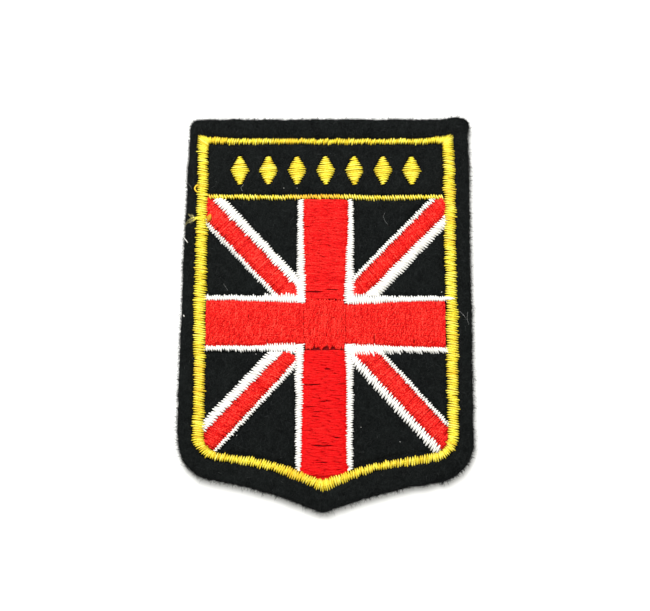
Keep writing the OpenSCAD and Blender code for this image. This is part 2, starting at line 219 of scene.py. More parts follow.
# How far the border's outer and inner lines are drawn off the frame's. Along the top and the foot: x, rise.
# Along the sides: y, shift to the right
TOP_OUTER = [(-25, 0.1), (-21, -0.12), (-18, -0.2), (18, -0.22), (22, -0.08), (25, 0.12)]
TOP_INNER = [(-25, -0.2), (0, -0.08), (25, -0.2)]
FOOT_OUTER = [
    (-24, -0.05), (-18, -0.22), (-11, -0.08), (-4, -0.35), (4, -0.45), (8, -0.05), (13, -0.2),
    (16.5, -0.75), (20, -0.7), (24, 0),
]
FOOT_INNER = [(-24, -0.2), (-17, -0.42), (-8, -0.28), (0, -0.4), (8, -0.62), (17, -0.72), (24, -0.3)]
LEFT_OUTER = [(-28, -0.2), (-17, 0), (-13, 0.05), (-5, -0.26), (6, -0.28), (15, -0.16), (29, 0.14)]
RIGHT_OUTER = [(-22, 0), (-14, 0.1), (-9, 0.42), (-3, 0.45), (4, 0.12), (16, 0.2), (33, 0.2)]
LEFT_INNER, RIGHT_INNER = [(0, 0)], [(0, 0.05)]

# How far the rule's upper and lower lines are drawn off the frame's: x, rise
RULE_UPPER = [(-24, 0), (-16, -0.12), (-10, -0.22), (-3, 0), (4, 0), (10, -0.3), (16, -0.2), (22, -0.1)]
RULE_LOWER = [(-24, 0), (-10, -0.1), (0, 0), (4, -0.05), (10, -0.26), (16, -0.14), (22, 0)]

# Gaps between the rows of the red arms: x, y, half length, width. Then how many small ones each arm has too
SLITS = [
    (-2.55, 3.9, 1.9, 0.3), (1.5, 4.35, 1.5, 0.14), (-3.9, 17.8, 0.6, 0.12), (-4, 11.9, 0.7, 0.12),
    (0.5, -12.4, 0.7, 0.26), (-2.9, -15.6, 1.9, 0.3), (3.1, -15.4, 1, 0.2), (-0.2, -19, 1.5, 0.18),
    (-3.2, -20.2, 1.3, 0.2), (-1.9, -21.3, 1, 0.2), (-2.1, -22.1, 0.8, 0.14), (-3.9, -25, 0.9, 0.14),
    (-0.6, -28.1, 1.9, 0.22), (-1.2, -31.6, 1.6, 0.2),
]
SMALL_SLITS = {"cross_arm_top": 14, "cross_arm_bottom": 60}

# How far the arms' red is mixed towards a clearer red than the bar's: painted light, as the arms show less
# white sheen than the bar
ARM_LESS_SHEEN = {"cross_arm_top": 0.5, "cross_arm_bottom": 0.8}

# Upright partings in the bar: x, y, half length, width
PARTINGS = [
    (-4.5, -3, 5, 0.04), (4, -3.5, 4.6, 0.04), (3.38, -1.99, 0.3, 0.2), (3.4, -2.85, 0.2, 0.16),
    (-15.95, -1.25, 0.45, 0.16), (10.07, -6.2, 0.9, 0.2), (18.17, -6.5, 0.8, 0.14),
    (-21.15, -6.7, 0.6, 0.14), (-19.1, -6.8, 0.5, 0.14), (-17, -6.7, 0.5, 0.12), (-12.15, -6.5, 0.5, 0.2),
    (-22.6, -6.8, 0.4, 0.14), (13.6, 1.2, 0.3, 0.2), (-8.4, 1.1, 0.4, 0.14),
]

# Where the bar's middle stitches stop short of the arms' rows, below and above: x, half width, depth
SHORT_BELOW = [
    (-2.05, 0.75, 0.65), (0.15, 0.55, 0.7), (1.5, 0.42, 0.65), (-3.6, 0.25, 0.35), (3.1, 0.25, 0.3),
]
SHORT_ABOVE = [(2.1, 0.2, 0.4), (2.9, 0.14, 0.35), (3.7, 0.16, 0.4), (-1.6, 0.18, 0.3), (0.9, 0.12, 0.3)]

# The felt: its mesh's fineness, its needled relief, how its rim wanders, and its fibres
FELT_VOXEL = 0.33
FELT_RELIEF = 0.06
LUMP_SIZES = (0.6, 2.4)
RIM_WOBBLE = 0.16
FACE_FIBRES, RIM_FIBRES = 2800, 8000

# The loose fibres: their lengths, lifts and thicknesses, and how deep they are rooted. Those of the rim: how
# far they turn from straight out, and the shortest one's length
FACE_LENGTHS, FACE_LIFTS, FACE_GIRTHS = (0.3, 1.2), (0, 0.16), (0.025, 0.045)
FIBRE_DEPTH, RIM_DEPTH = 0.03, 0.08
RIM_TURN, RIM_SHORTEST, RIM_GIRTHS = 0.7, 0.33, (0.045, 0.09)

# Where the felt's cut stands out beyond the frame's, or in: x, y, reach, how far
CUTS = [
    (-29.4, 0, 24, 0.2), (-28.9, 36, 6, -0.15), (-15, -36.5, 10, -0.35), (-29.5, -31, 5, -0.3),
    (30, -18, 10, -0.18), (30, 11, 9, -0.14), (30.5, 36.5, 3, -0.15), (28.6, 41.3, 2.6, 0.5),
    (22, -35, 4, 0.3), (-27.5, 41.3, 3, -0.1),
]

# The camera: its place, what it looks at, its lens for a 36 mm sensor
CAMERA_AT = (-0.15, -65.5, 314.81)
CAMERA_TO = (-0.15, 1.03, 1.8)
LENS = 85.6

# The floor's half width, in metres. The light: the white surround, and a large soft lamp at the top left
FLOOR_HALF = 1.5
SURROUND = 0.785
KEY_AT, KEY_SIZE, KEY_WATTS = (-95, 305, 380), 340, 3.1


# Reading the frame

def box(name):
    """A node's lowest and highest corner, in millimetres."""
    return [np.array(corner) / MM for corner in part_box(name)]


def read(items, field, kind=np.float32):
    """A field of a mesh's items, three values to a row."""
    values = np.empty(len(items) * 3, kind)
    items.foreach_get(field, values)
    return values.reshape(-1, 3)


def node_faces(name):
    """A node's corner points, in millimetres, and its triangles."""
    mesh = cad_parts[name].data
    mesh.calc_loop_triangles()
    points = (read(mesh.vertices, "co").astype(float) / MM).round(4)
    points, weld = np.unique(points, axis=0, return_inverse=True)
    return points, weld.reshape(-1)[read(mesh.loop_triangles, "vertices", np.int32)]


def turned_area(loop):
    """The signed area of a closed outline."""
    x, y = loop.T
    return (x * np.roll(y, -1) - np.roll(x, -1) * y).sum() / 2


def foot_outlines(name):
    """The outlines of a node's lowest face, the largest first, all counter-clockwise."""
    points, triangles = node_faces(name)
    low = points[:, 2] < points[:, 2].min() + 0.01
    foot = triangles[low[triangles].all(1)]
    sides = np.concatenate([foot[:, [0, 1]], foot[:, [1, 2]], foot[:, [2, 0]]])
    edges = {tuple(side) for side in sides.tolist()}
    follow = {a: b for a, b in sorted(edges) if (b, a) not in edges}
    loops = []
    while follow:
        at, loop = min(follow), []
        while at in follow:
            loop.append(at)
            at = follow.pop(at)
        loops.append(points[loop, :2])
    loops = [p if turned_area(p) > 0 else p[::-1] for p in loops]
    return sorted(loops, key=turned_area, reverse=True)


class Relief:
    """The height of the frame's face, as a grid over the plan. laid closes its small gaps, as thread does."""

    def __init__(self, step=0.12):
        points, triangles, count = [], [], 0
        for name in sorted(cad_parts):
            p, t = node_faces(name)
            points.append(p)
            triangles.append(t + count)
            count += len(p)
        points = np.concatenate(points)
        self.low, high = points.min(0)[:2] - 1, points.max(0)[:2] + 1
        self.step = step
        tree = BVHTree.FromPolygons(points.tolist(), np.concatenate(triangles).tolist())
        down, start = Vector((0, 0, -1)), points[:, 2].max() + 1
        self.bare = np.zeros(np.ceil((high - self.low) / step).astype(int) + 1)
        for spot in np.ndindex(self.bare.shape):
            x, y = self.low + step * np.array(spot)
            hit = tree.ray_cast(Vector((x, y, start)), down)[0]
            self.bare[spot] = hit.z if hit else 0.0
        shifts = [np.roll(self.bare, (i, j), (0, 1)) for i in (-1, 0, 1) for j in (-1, 0, 1)]
        self.laid = np.max(shifts, axis=0)

    def at(self, xy, grid):
        """Heights at places, between the grid's points."""
        f = np.clip((np.asarray(xy) - self.low) / self.step, 0, np.array(grid.shape) - 1.001)
        i = f.astype(int)
        u, v = (f - i)[..., 0], (f - i)[..., 1]
        a, b = i[..., 0], i[..., 1]
        near = grid[a, b] * (1 - v) + grid[a, b + 1] * v
        far = grid[a + 1, b] * (1 - v) + grid[a + 1, b + 1] * v
        return near * (1 - u) + far * u


relief = Relief()
PRESSED, FELT_TOP = box("cross_bar")[0][2], box("felt_ground")[1][2]


# Lines and fields in the plan

def smooth(x):
    """0 below 0, 1 above 1, and a smooth step between."""
    x = np.clip(x, 0, 1)
    return x * x * (3 - 2 * x)


def unit(vectors, least=1e-6):
    """Vectors brought to length 1."""
    return vectors / np.maximum(np.linalg.norm(vectors, axis=-1, keepdims=True), least)


def right_of(vectors):
    """Vectors in the plan, turned a quarter to the right."""
    return np.stack([vectors[..., 1], -vectors[..., 0]], -1)


def raised(xy, z):
    """Places in the plan with their heights."""
    return np.concatenate([xy, z[..., None]], -1)


def looped(line):
    """A closed line with its first point again at its end."""
    return np.concatenate([line, line[:1]])


def lengths_along(line, closed=False):
    """The distance from a line's start to each of its points, and back to the start where it is closed."""
    line = looped(line) if closed else line
    return np.concatenate([[0], np.cumsum(np.linalg.norm(np.diff(line, axis=0), axis=1))])


def points_at(line, along, at):
    """A line's points at some distances along it."""
    return np.stack([np.interp(at, along, column) for column in line.T], 1)


def spaced(line, step, closed=False):
    """Points at equal steps along a line."""
    along = lengths_along(line, closed)
    at = np.linspace(0, along[-1], max(2, int(round(along[-1] / step))), endpoint=not closed)
    return points_at(looped(line) if closed else line, along, at)


def fanned(outer, inner, spread):
    """For each point of the outer loop its partner on the inner one: the nearest, with each corner's turn
    spread out along the loop."""
    a, b = inner, np.roll(inner, -1, 0)
    ab = b - a
    t = np.clip(((outer[:, None] - a) * ab).sum(2) / (ab * ab).sum(1), 0, 1)
    best = ((outer[:, None] - a - t[..., None] * ab) ** 2).sum(2).argmin(1)
    along = lengths_along(inner, True)
    total = along[-1]
    at = along[best] + t[np.arange(len(outer)), best] * np.linalg.norm(ab[best], axis=1)
    at = np.unwrap(at, period=total)
    window = int(spread / FINE_STEP)
    longer = np.concatenate([at[-window:] - total, at, at[:window] + total])
    at = np.convolve(longer, np.ones(window) / window, "same")[window:-window] % total
    return points_at(looped(inner), along, at)


def plan(x, y):
    """Places in the plan."""
    return np.stack([x, y], -1)


def wave(xy, size, seed):
    """Smooth noise from -1 to 1 over the plan, with bumps of about a size."""
    xy = np.asarray(xy)
    values = [noise.noise((x, y, 7.3 * seed)) for x, y in (xy.reshape(-1, 2) / size).tolist()]
    return np.array(values).reshape(xy.shape[:-1])


def pulled(xy, amount, size, seed):
    """Places moved a little, neighbours alike, as cloth and stitches pull."""
    return xy + amount * plan(wave(xy, size, seed), wave(xy, size, seed + 1))


def drawn(rows, at):
    """A value read between the rows (place, value) of a short table, with its corners rounded."""
    place, value = np.array(sorted(rows)).T
    near = [np.interp(at + d, place, value) for d in (-1.2, -0.6, 0, 0.6, 1.2)]
    return np.mean(near, axis=0)


def crown(share):
    """The height of a filled band's thread over the pressed felt, by its share of the way across."""
    t = np.abs(2 * np.clip(share, 0, 1) - 1)
    return EDGE_RISE + (FILL_RISE - EDGE_RISE) * (1 - t ** FILL_SQUARE) ** (1 / FILL_SQUARE)


# Threads as tubes

class Threads:
    """What one piece is made of: threads in batches of equally long paths, and the layers under them."""

    def __init__(self, name, sides=SIDES):
        self.name, self.sides = name, sides
        self.batches, self.layers = [], []

    def add(self, paths, width, height, tone, warmth=0.0, depth=0.0):
        """paths is (threads, points, 3). The other values may differ for each thread and point. depth is how
        much painted shade they take.
        """
        values = [np.broadcast_to(v, paths.shape[:2]) for v in (width, height, tone, warmth, depth)]
        self.batches.append([paths] + values)

    def add_layer(self, grid, depth=0.6):
        """A ground of thread under the others, as a grid of points (rows, across, 3)."""
        self.layers.append((grid, depth))

    def build(self, material, slot, *nodes):
        """The piece itself, with a map along the threads and a map in which each thread has its own cell."""
        cells = sum(len(batch[0]) for batch in self.batches) + LAYER_CELLS * len(self.layers)
        self.columns = max(1, int(math.ceil(math.sqrt(cells * CELL_SHAPE))))
        self.rows = int(math.ceil(cells / self.columns))
        self.corners, self.faces, self.maps, self.places, self.marks = [], [], [], [], []
        self.first = self.cell = 0
        for batch in self.batches:
            self.lay_tubes(*batch)
        for grid, depth in self.layers:
            self.lay_grid(grid, depth)
        mesh = mesh_of(self.name, np.concatenate(self.corners), self.faces)
        for name, places in (("thread", self.maps), ("OFBake", self.places)):
            layer = mesh.uv_layers.new(name=name)
            layer.uv.foreach_set("vector", flat(np.concatenate(places)))
        # The depth mark is each point's share of painted shade
        for name, values in zip(("tone", "warmth", "depth"), np.concatenate(self.marks).T):
            layer = mesh.attributes.new(name, "FLOAT", "POINT")
            layer.data.foreach_set("value", flat(values))
        return piece_of(mesh, material, slot, nodes)

    def place(self, number, u, v):
        """Spots in the threads' own cells, for shares u and v of a cell."""
        x = (number % self.columns + CELL_EDGE[0] + (1 - 2 * CELL_EDGE[0]) * u) / self.columns
        y = (number // self.columns + CELL_EDGE[1] + (1 - 2 * CELL_EDGE[1]) * v) / self.rows
        self.places.append(plan(*np.broadcast_arrays(x, y)).reshape(-1, 2))

    def lay_tubes(self, paths, width, height, *marks):
        """A tube of faces round each path."""
        n = self.sides
        k, m = paths.shape[:2]
        turn = 2 * math.pi * np.arange(n) / n
        tangent = unit(np.gradient(paths, axis=1), 1e-9)
        up = unit(np.array([0.0, 0.0, 1.0]) - tangent[..., 2:] * tangent)
        side = np.cross(up, tangent)
        ring = (
            paths[:, :, None]
            + side[:, :, None] * (width[..., None] / 2 * np.cos(turn))[..., None]
            + up[:, :, None] * (height[..., None] / 2 * np.sin(turn))[..., None]
        )
        self.corners.append(ring.reshape(-1, 3))
        self.marks.append(np.repeat(np.stack(marks, -1).reshape(-1, 3), n, axis=0))
        along = np.linalg.norm(np.diff(paths, axis=1, prepend=paths[:, :1]), axis=2).cumsum(1)
        thread, i, j = np.meshgrid(np.arange(k), np.arange(m - 1), np.arange(n), indexing="ij")
        base = self.first + thread * m * n + i * n
        j2 = (j + 1) % n
        self.faces.append(np.stack([base + j, base + j2, base + n + j2, base + n + j], -1).reshape(-1, 4))
        u = np.stack([j, j + 1, j + 1, j], -1) / n
        v = along[thread[..., None], np.stack([i, i, i + 1, i + 1], -1)]
        self.maps.append(plan(u, v).reshape(-1, 2))
        self.place(self.cell + thread[..., None], u, v / along[:, -1][thread][..., None])
        self.close_tubes(k, m, turn)
        self.first += k * m * n
        self.cell += k

    def close_tubes(self, k, m, turn):
        """A face at each end of the tubes just laid."""
        ring = np.arange(self.sides)
        start = self.first + np.arange(k)[:, None] * m * self.sides
        self.faces.append(np.concatenate([start + ring[::-1], start + (m - 1) * self.sides + ring]))
        self.maps.append(np.full((2 * k * self.sides, 2), 0.5))
        number = np.tile(self.cell + np.arange(k), 2)[:, None]
        end = np.repeat([0.01, 0.99], k)[:, None]
        self.place(number, 0.5 + 0.3 * np.cos(turn), end + 0.01 * np.sin(turn))

    def lay_grid(self, grid, depth):
        """A sheet of faces over a grid of points. It takes a few cells, one beside the other."""
        k, m = grid.shape[:2]
        self.corners.append(grid.reshape(-1, 3))
        self.marks.append(np.tile([*LAYER_MARKS, depth], (k * m, 1)))
        i, j = np.meshgrid(np.arange(k - 1), np.arange(m - 1), indexing="ij")
        base = self.first + i * m + j
        self.faces.append(np.stack([base, base + m, base + m + 1, base + 1], -1).reshape(-1, 4))
        along = lengths_along(grid[:, m // 2])
        across = np.linalg.norm(np.diff(grid, axis=1, prepend=grid[:, :1]), axis=2).cumsum(1)
        rows = np.stack([i, i + 1, i + 1, i], -1)
        spots = np.stack([j, j, j + 1, j + 1], -1)
        self.maps.append(plan(along[rows] / THREAD_W, across[rows, spots]).reshape(-1, 2))
        share = LAYER_CELLS * rows / (k - 1)
        cell = np.minimum(share.min(-1, keepdims=True).astype(int), LAYER_CELLS - 1)
        self.place(self.cell + cell, np.clip(share - cell, 0, 1), spots / (m - 1))
        self.first += k * m
        self.cell += LAYER_CELLS


def flat(values, kind=np.float32):
    """Values one after the other, as Blender takes them."""
    return np.ascontiguousarray(values, kind).reshape(-1)


def mesh_of(name, corners, faces):
    """A smooth mesh of corner points in millimetres and arrays of faces."""
    mesh = bpy.data.meshes.new(name)
    loops = np.concatenate([f.reshape(-1) for f in faces])
    totals = np.concatenate([np.full(len(f), f.shape[1]) for f in faces])
    starts = np.concatenate([[0], np.cumsum(totals)[:-1]])
    mesh.vertices.add(len(corners))
    mesh.vertices.foreach_set("co", flat(corners * MM))
    mesh.loops.add(len(loops))
    mesh.loops.foreach_set("vertex_index", flat(loops, np.int32))
    mesh.polygons.add(len(totals))
    mesh.polygons.foreach_set("loop_start", flat(starts, np.int32))
    mesh.polygons.foreach_set("use_smooth", np.ones(len(totals), bool))
    mesh.update(calc_edges=True)
    mesh.validate()
    return mesh


def in_scene(name, data):
    """A new object, linked to the scene."""
    made = bpy.data.objects.new(name, data)
    bpy.context.scene.collection.objects.link(made)
    return made


def piece_of(mesh, material, slot, nodes=()):
    """An object of the patch, which rides on its body and stands for some nodes of the frame."""
    piece = in_scene(mesh.name, mesh)
    mesh.materials.append(material)
    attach(piece, BODY)
    if nodes:
        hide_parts(*nodes)
    return piece


# Satin: passes from edge to edge, two to a tooth

PASS_GIRTH = np.array([0.32, 0.62, 0.9, 1, 1, 1, 0.9, 0.62, 0.32])
# How much painted shade a pass takes along its length: most at its ends, where it dives into its holes
PASS_SHADE = np.array([1, 0.6, 0.2, 0, 0, 0, 0.2, 0.6, 1])


def pass_shares(length):
    """Where a pass is sampled between its two holes: close together where it dives at the ends."""
    near = np.clip(0.12 / length, 0.03, 0.13)
    far = np.clip(0.34 / length, 0.08, 0.26)
    ends = np.stack([0 * near, near, far, (far + 0.5) / 2], 1)
    return np.concatenate([ends, np.full((len(length), 1), 0.5), 1 - ends[:, ::-1]], 1)


def bowed(a, b, shares, bow):
    """Places along stitches from a to b, at shares of their lengths, bowed a little to the side."""
    across = b - a
    side = -right_of(across) / np.linalg.norm(across, axis=1)[:, None]
    bow = bow * np.sin(math.pi * shares)
    return a[:, None] + across[:, None] * shares[..., None] + side[:, None] * bow[..., None]


def zero(xy, rng=None):
    """Nothing at any place."""
    return np.zeros(xy.shape[:-1])


def passes(rails, rng, tooth, jitter, closed, bite, ragged, lean):
    """The passes between the holes along two rails: where each starts and ends, how far along the rails it
    lies and which way it goes. Then the rails' length."""
    steps = [np.linalg.norm(np.diff(rail, axis=0), axis=1) for rail in rails]
    along = np.concatenate([[0], np.cumsum(np.maximum(*steps))])
    total = along[-1]
    teeth = max(2, int(round(total / tooth)))
    step = total / teeth

    def holes(side, at):
        at = at + rng.normal(0, jitter * step, len(at))
        at = at % total if closed else np.clip(at, 0, total)
        p, q = (points_at(rails[k], along, at) for k in (side, 1 - side))
        reach = bite[side] + rng.normal(0, ragged[side], len(at))
        return p + unit(p - q) * reach[:, None]

    at = step * (np.arange(teeth) + (0 if closed else 0.25))
    count = teeth if closed else teeth - 1
    lefts, rights = holes(0, at), holes(1, at + 0.5 * step + lean)
    a = np.concatenate([lefts, rights[:count]])
    b = np.concatenate([rights, np.roll(lefts, -1, 0)[:count]])
    way = np.repeat([1.0, -1.0], [teeth, count])
    at = np.concatenate([at + 0.25 * step, at[:count] + 0.75 * step])
    kept = np.linalg.norm(b - a, axis=1) > SHORTEST_PASS
    return a[kept], b[kept], at[kept], way[kept], total


def satin(threads, left, right, seed, tooth, width, jitter, tone, painted_sheen, bed, flatness=1, closed=False,
          bite=(0, 0), ragged=(0.05, 0.05), lean=0, lift=0, tuck=(0, 0), warmth=zero, dulled=zero, below=zero,
          inset=(0.35, 0.35)):
    """Satin between two rails that run side by side at fine steps. bite is how far the teeth pass each
    rail, ragged how unlike they are there, lean how far the right holes lie ahead of the left ones, and tuck
    how much of each end goes under what lies there. For places warmth and dulled say how a thread is tinted
    and shaded, and below where it lies under another column. inset is how far the layer beneath keeps from
    each rail."""
    rng = np.random.default_rng(seed)
    rails = [looped(rail) if closed else rail for rail in (left, right)]
    a, b, at, way, total = passes(rails, rng, tooth, jitter, closed, bite, ragged, lean)
    count = len(a)
    bow, rise, more = SATIN_STRAYS
    xy = bowed(a, b, pass_shares(np.linalg.norm(b - a, axis=1)), rng.normal(0, bow, (count, 1)))
    far_in = (tuck[0] - at, at - total + tuck[1])
    tucked = 0 if closed else sum(smooth(d / TUCK_RAMP) for d in far_in)
    height = lift - THREAD_H / 2 + rng.normal(0, rise, count) + 0.1 * painted_sheen * way - TUCK * tucked
    height = height[:, None] - HELD_DOWN * below(xy)
    z = np.maximum(relief.at(xy, relief.laid) + height, PRESSED + CLEAR)
    z[:, [0, -1]] -= SINK
    girth = width * rng.normal(1, more, (count, 1)) * PASS_GIRTH
    centre = (a + b) / 2
    # Painted highlight: the passes that go one way are painted brighter, as if they caught the light
    shade = 0.5 + rng.normal(0, tone, count) + painted_sheen * way
    shade += 0.08 * wave(centre, TONE_PATCH, seed) + dulled(centre)
    warm = warmth(centre, rng)
    height = flatness * THREAD_H * girth / width
    threads.add(raised(xy, z), girth, height, shade[:, None], warm[:, None], PASS_SHADE)
    # The layer beneath stands for the underlay. bed's second value paints it with shade, so gaps between
    # passes look dark
    layer = under_layer(*rails, inset, lift - bed[0])
    layer[..., 2] -= HELD_DOWN * below(layer[..., :2])
    threads.add_layer(layer, bed[1])


def under_layer(left, right, inset, lift):
    """The layer under satin: a grid between its rails that follows the relief."""
    pick = np.unique(np.append(np.arange(0, len(left), 8), len(left) - 1))
    left, right = left[pick], right[pick]
    width = np.maximum(np.linalg.norm(right - left, axis=1), 1e-3)
    start, end = (np.clip(i / width, 0, 0.45)[:, None] for i in inset)
    shares = start + (1 - start - end) * np.linspace(0, 1, 5)
    xy = left[:, None] + (right - left)[:, None] * shares[..., None]
    z = relief.at(xy, relief.laid) + lift
    z[:, [0, -1]] -= 0.25
    return raised(xy, z)


def crossings(outline, origins, direction):
    """For lines through the origins, how far along the direction they enter and leave an outline."""
    a, b = outline, np.roll(outline, -1, 0)
    normal = -right_of(direction)
    da = (a - origins[:, None]) @ normal
    db = (b - origins[:, None]) @ normal
    hit = (da > 0) != (db > 0)
    t = da / np.where(hit, da - db, 1)
    far = (a + t[..., None] * (b - a) - origins[:, None]) @ direction
    return np.where(hit, far, np.inf).min(1), np.where(hit, far, -np.inf).max(1)


def band_rails(outline, direction, trim=0.06):
    """The two rails of a band that runs along a direction, at fine steps from end to end."""
    direction = unit(np.array(direction))
    across = right_of(direction)
    run = outline @ direction
    origins = np.arange(run.min() + trim, run.max() - trim, FINE_STEP)[:, None] * direction
    low, high = crossings(outline, origins, across)
    found = np.isfinite(low) & np.isfinite(high) & (high - low > 0.1)
    return [origins[found] + side[found, None] * across for side in (low, high)]


def lengthened(rail, start, end):
    """A rail drawn on straight beyond both of its ends."""
    first, last = unit(rail[0] - rail[8]), unit(rail[-1] - rail[-9])
    before = rail[0] + first * np.arange(start, FINE_STEP / 2, -FINE_STEP)[:, None]
    after = rail[-1] + last * np.arange(FINE_STEP, end + FINE_STEP / 2, FINE_STEP)[:, None]
    return np.concatenate([before, rail, after])


def long_direction(outline):
    """The direction of an outline's longest edge, turned to point up the patch."""
    edges = np.roll(outline, -1, 0) - outline
    edge = edges[np.linalg.norm(edges, axis=1).argmax()]
    return unit(edge) * (1 if edge[1] > 0 else -1)


# Fill: rows of shorter stitches

FILL = np.array([0.0, 0.07, 0.26, 0.5, 0.74, 0.93, 1.0])
FILL_GIRTH = np.array([0.85, 0.94, 1, 1, 1, 0.94, 0.85])
# How much painted shade a row's stitch takes along its length: most at its ends
FILL_SHADE = np.array([0.6, 0.25, 0.03, 0, 0.03, 0.25, 0.6])


def parted(xy, gaps, axis):
    """Places moved off the gaps that open between rows. The gaps run along the axis."""
    xy = xy.copy()
    for gap in gaps:
        half, width = gap[2], gap[3] + ROW_WIDTH - ROW_PITCH
        near = np.exp(-((xy[..., axis] - gap[axis]) / half) ** 4)
        off = xy[..., 1 - axis] - gap[1 - axis]
        xy[..., 1 - axis] += np.sign(off) * width / 2 * near * np.exp(-np.abs(off) / 0.6)
    return xy


def row_cuts(length, stitch, start, rng):
    """Where a row is cut into stitches, with both of its ends."""
    cuts = np.arange((start + rng.normal(0, 0.2)) * stitch, length, stitch)
    cuts = cuts[(cuts > 0.25 * stitch) & (cuts < length - 0.25 * stitch)]
    cuts = cuts + rng.normal(0, 0.1 * stitch, len(cuts))
    return np.concatenate([[rng.normal(0, 0.07)], cuts, [length + rng.normal(0, 0.07)]])


def row_stitches(p, q, lean, under, cuts, row):
    """One row's stitches: their two ends, the ends' shares of the way over the band, the row's number, and
    whether they start or end at an edge. Inside, a stitch passes its hole a little, under its neighbour."""
    length = np.linalg.norm(q - p)
    along = (q - p) / length
    side = right_of(along) * lean / 2
    last = len(cuts) - 2
    for k in range(last + 1):
        start = cuts[k] - (PAST_HOLE if k else 0)
        end = cuts[k + 1] + (PAST_HOLE if k < last else 0)
        shares = [(at - under) / (length - 2 * under) for at in (start, end)]
        yield [*(p + along * start - side), *(p + along * end + side), *shares, row, k == 0, k == last]


def fill(threads, low, high, seed, stitch, lean, under, starts, lift=0, gaps=(), axis=0, bed=0.6, less_sheen=0):
    """Rows from the points of one rail to those of the other, broken into stitches. stitch, lean, lift and
    under, how much of each end lies beneath the edging, may differ from row to row. starts says at what
    share of a stitch each row begins, so that no line of holes shows, bed how much painted shade the layer
    beneath takes, and the last argument how far the threads' red is mixed towards a clearer one, painted
    light for a lesser sheen."""
    rng = np.random.default_rng(seed)
    stitch, lean, under, lift = (np.broadcast_to(v, len(low)) for v in (stitch, lean, under, lift))
    made = []
    for row, (p, q) in enumerate(zip(low, high)):
        cuts = row_cuts(np.linalg.norm(q - p), stitch[row], starts[row % len(starts)], rng)
        made += row_stitches(p, q, lean[row], under[row], cuts, row)
    made = np.array(made, float)
    count = len(made)
    a = made[:, :2] + rng.normal(0, 0.02, (count, 2))
    b = made[:, 2:4] + rng.normal(0, 0.02, (count, 2))
    share_a, share_b = made[:, 4:5], made[:, 5:6]
    row_of = made[:, 6].astype(int)
    bow, rise, more = ROW_STRAYS
    xy = bowed(a, b, FILL, rng.normal(0, bow, (count, 1)))
    xy = parted(pulled(xy, *PULL["rows"], seed), gaps, axis)
    height = crown(share_a + (share_b - share_a) * FILL)
    z = PRESSED + height - THREAD_H / 2 + lift[row_of, None] + rng.normal(0, rise, (count, 1))
    z += 0.03 * np.sin(math.pi * FILL)
    z[:, [0, -1]] -= np.where(made[:, 7:] > 0, SINK, 0.05)
    girth = ROW_WIDTH * rng.normal(1, more, (count, 1)) * FILL_GIRTH
    row_tone = rng.normal(0, 0.03, len(low))[row_of]
    tone = 0.5 + row_tone + rng.normal(0, 0.13, count) + 0.06 * wave((a + b) / 2, TONE_PATCH, seed)
    height = ROW_FLAT * THREAD_H * girth / ROW_WIDTH
    # For the arms the warmth mark is painted light: their red is mixed towards a clearer one, for less sheen
    threads.add(raised(xy, z), girth, height, tone[:, None], less_sheen, FILL_SHADE)
    shares = np.linspace(0.07, 0.93, 11)
    xy = low[::2, None] + (high - low)[::2, None] * shares[:, None]
    height = PRESSED + crown(shares) - 0.32 + lift[::2, None]
    height[:, [0, -1]] -= 0.3
    threads.add_layer(raised(xy, height), bed)


# Materials

# Turns of a filament in a millimetre, strands in a thread, and the ways that the felt's fibres lie
FILAMENT_TURNS = 0.35
STRANDS = 7
FIBRE_TURNS = (0.3, 1.25, 2.2, 2.9)


class Shader:
    """A material with one Principled shader, and nodes added in one call each."""

    def __init__(self, name, **sockets):
        self.material = bpy.data.materials.new(name)
        self.material.use_nodes = True
        self.tree = self.material.node_tree
        self.main = next(n for n in self.tree.nodes if n.type == "BSDF_PRINCIPLED")
        for socket, value in sockets.items():
            self.main.inputs[socket.replace("_", " ")].default_value = value

    def node(self, kind, inputs=(), **settings):
        made = self.tree.nodes.new("ShaderNode" + kind)
        for name, value in settings.items():
            setattr(made, name, value)
        for name, value in dict(inputs).items():
            if isinstance(value, bpy.types.NodeSocket):
                self.tree.links.new(value, made.inputs[name])
            else:
                made.inputs[name].default_value = value
        return made

    def math(self, operation, a, b=0.0):
        return self.node("Math", {0: a, 1: b}, operation=operation).outputs[0]

    def plus(self, a, b):
        return self.math("ADD", a, b)

    def times(self, a, b):
        return self.math("MULTIPLY", a, b)

    def swing(self, value, amount):
        """How far a value lies from its middle, made larger or smaller."""
        return self.times(self.math("SUBTRACT", value, 0.5), amount)

    def mix(self, share, a, b):
        return self.node("Mix", {0: share, 6: a, 7: b}, data_type="RGBA").outputs[2]

    def spread(self, value, low, high, to_low=0.0, to_high=1.0):
        """A value from one range taken to another, and held within it."""
        return self.node("MapRange", {0: value, 1: low, 2: high, 3: to_low, 4: to_high}).outputs[0]

    def noise(self, vector, scale, detail=3.0, roughness=0.5, distortion=0.0):
        inputs = {"Vector": vector, "Scale": scale, "Detail": detail, "Roughness": roughness}
        return self.node("TexNoise", {**inputs, "Distortion": distortion}).outputs[0]

    def stretched(self, vector, scale, turn=0.0):
        """Places turned and then scaled, each way by its own factor."""
        inputs = {0: vector, "Rotation": (0, 0, turn), "Scale": [1 / v for v in scale]}
        return self.node("Mapping", inputs, vector_type="TEXTURE").outputs[0]

    def attribute(self, name):
        """One of the threads' marks."""
        return self.node("Attribute", attribute_name=name).outputs["Fac"]

    def along_thread(self):
        return self.node("UVMap", uv_map="thread").outputs[0]

    def place(self):
        return self.node("TexCoord").outputs["Object"]

    def link(self, value, socket):
        self.tree.links.new(value, self.main.inputs[socket])

    def bump(self, height, distance, strength):
        made = self.node("Bump", {"Height": height, "Distance": distance * MM, "Strength": strength})
        self.link(made.outputs[0], "Normal")


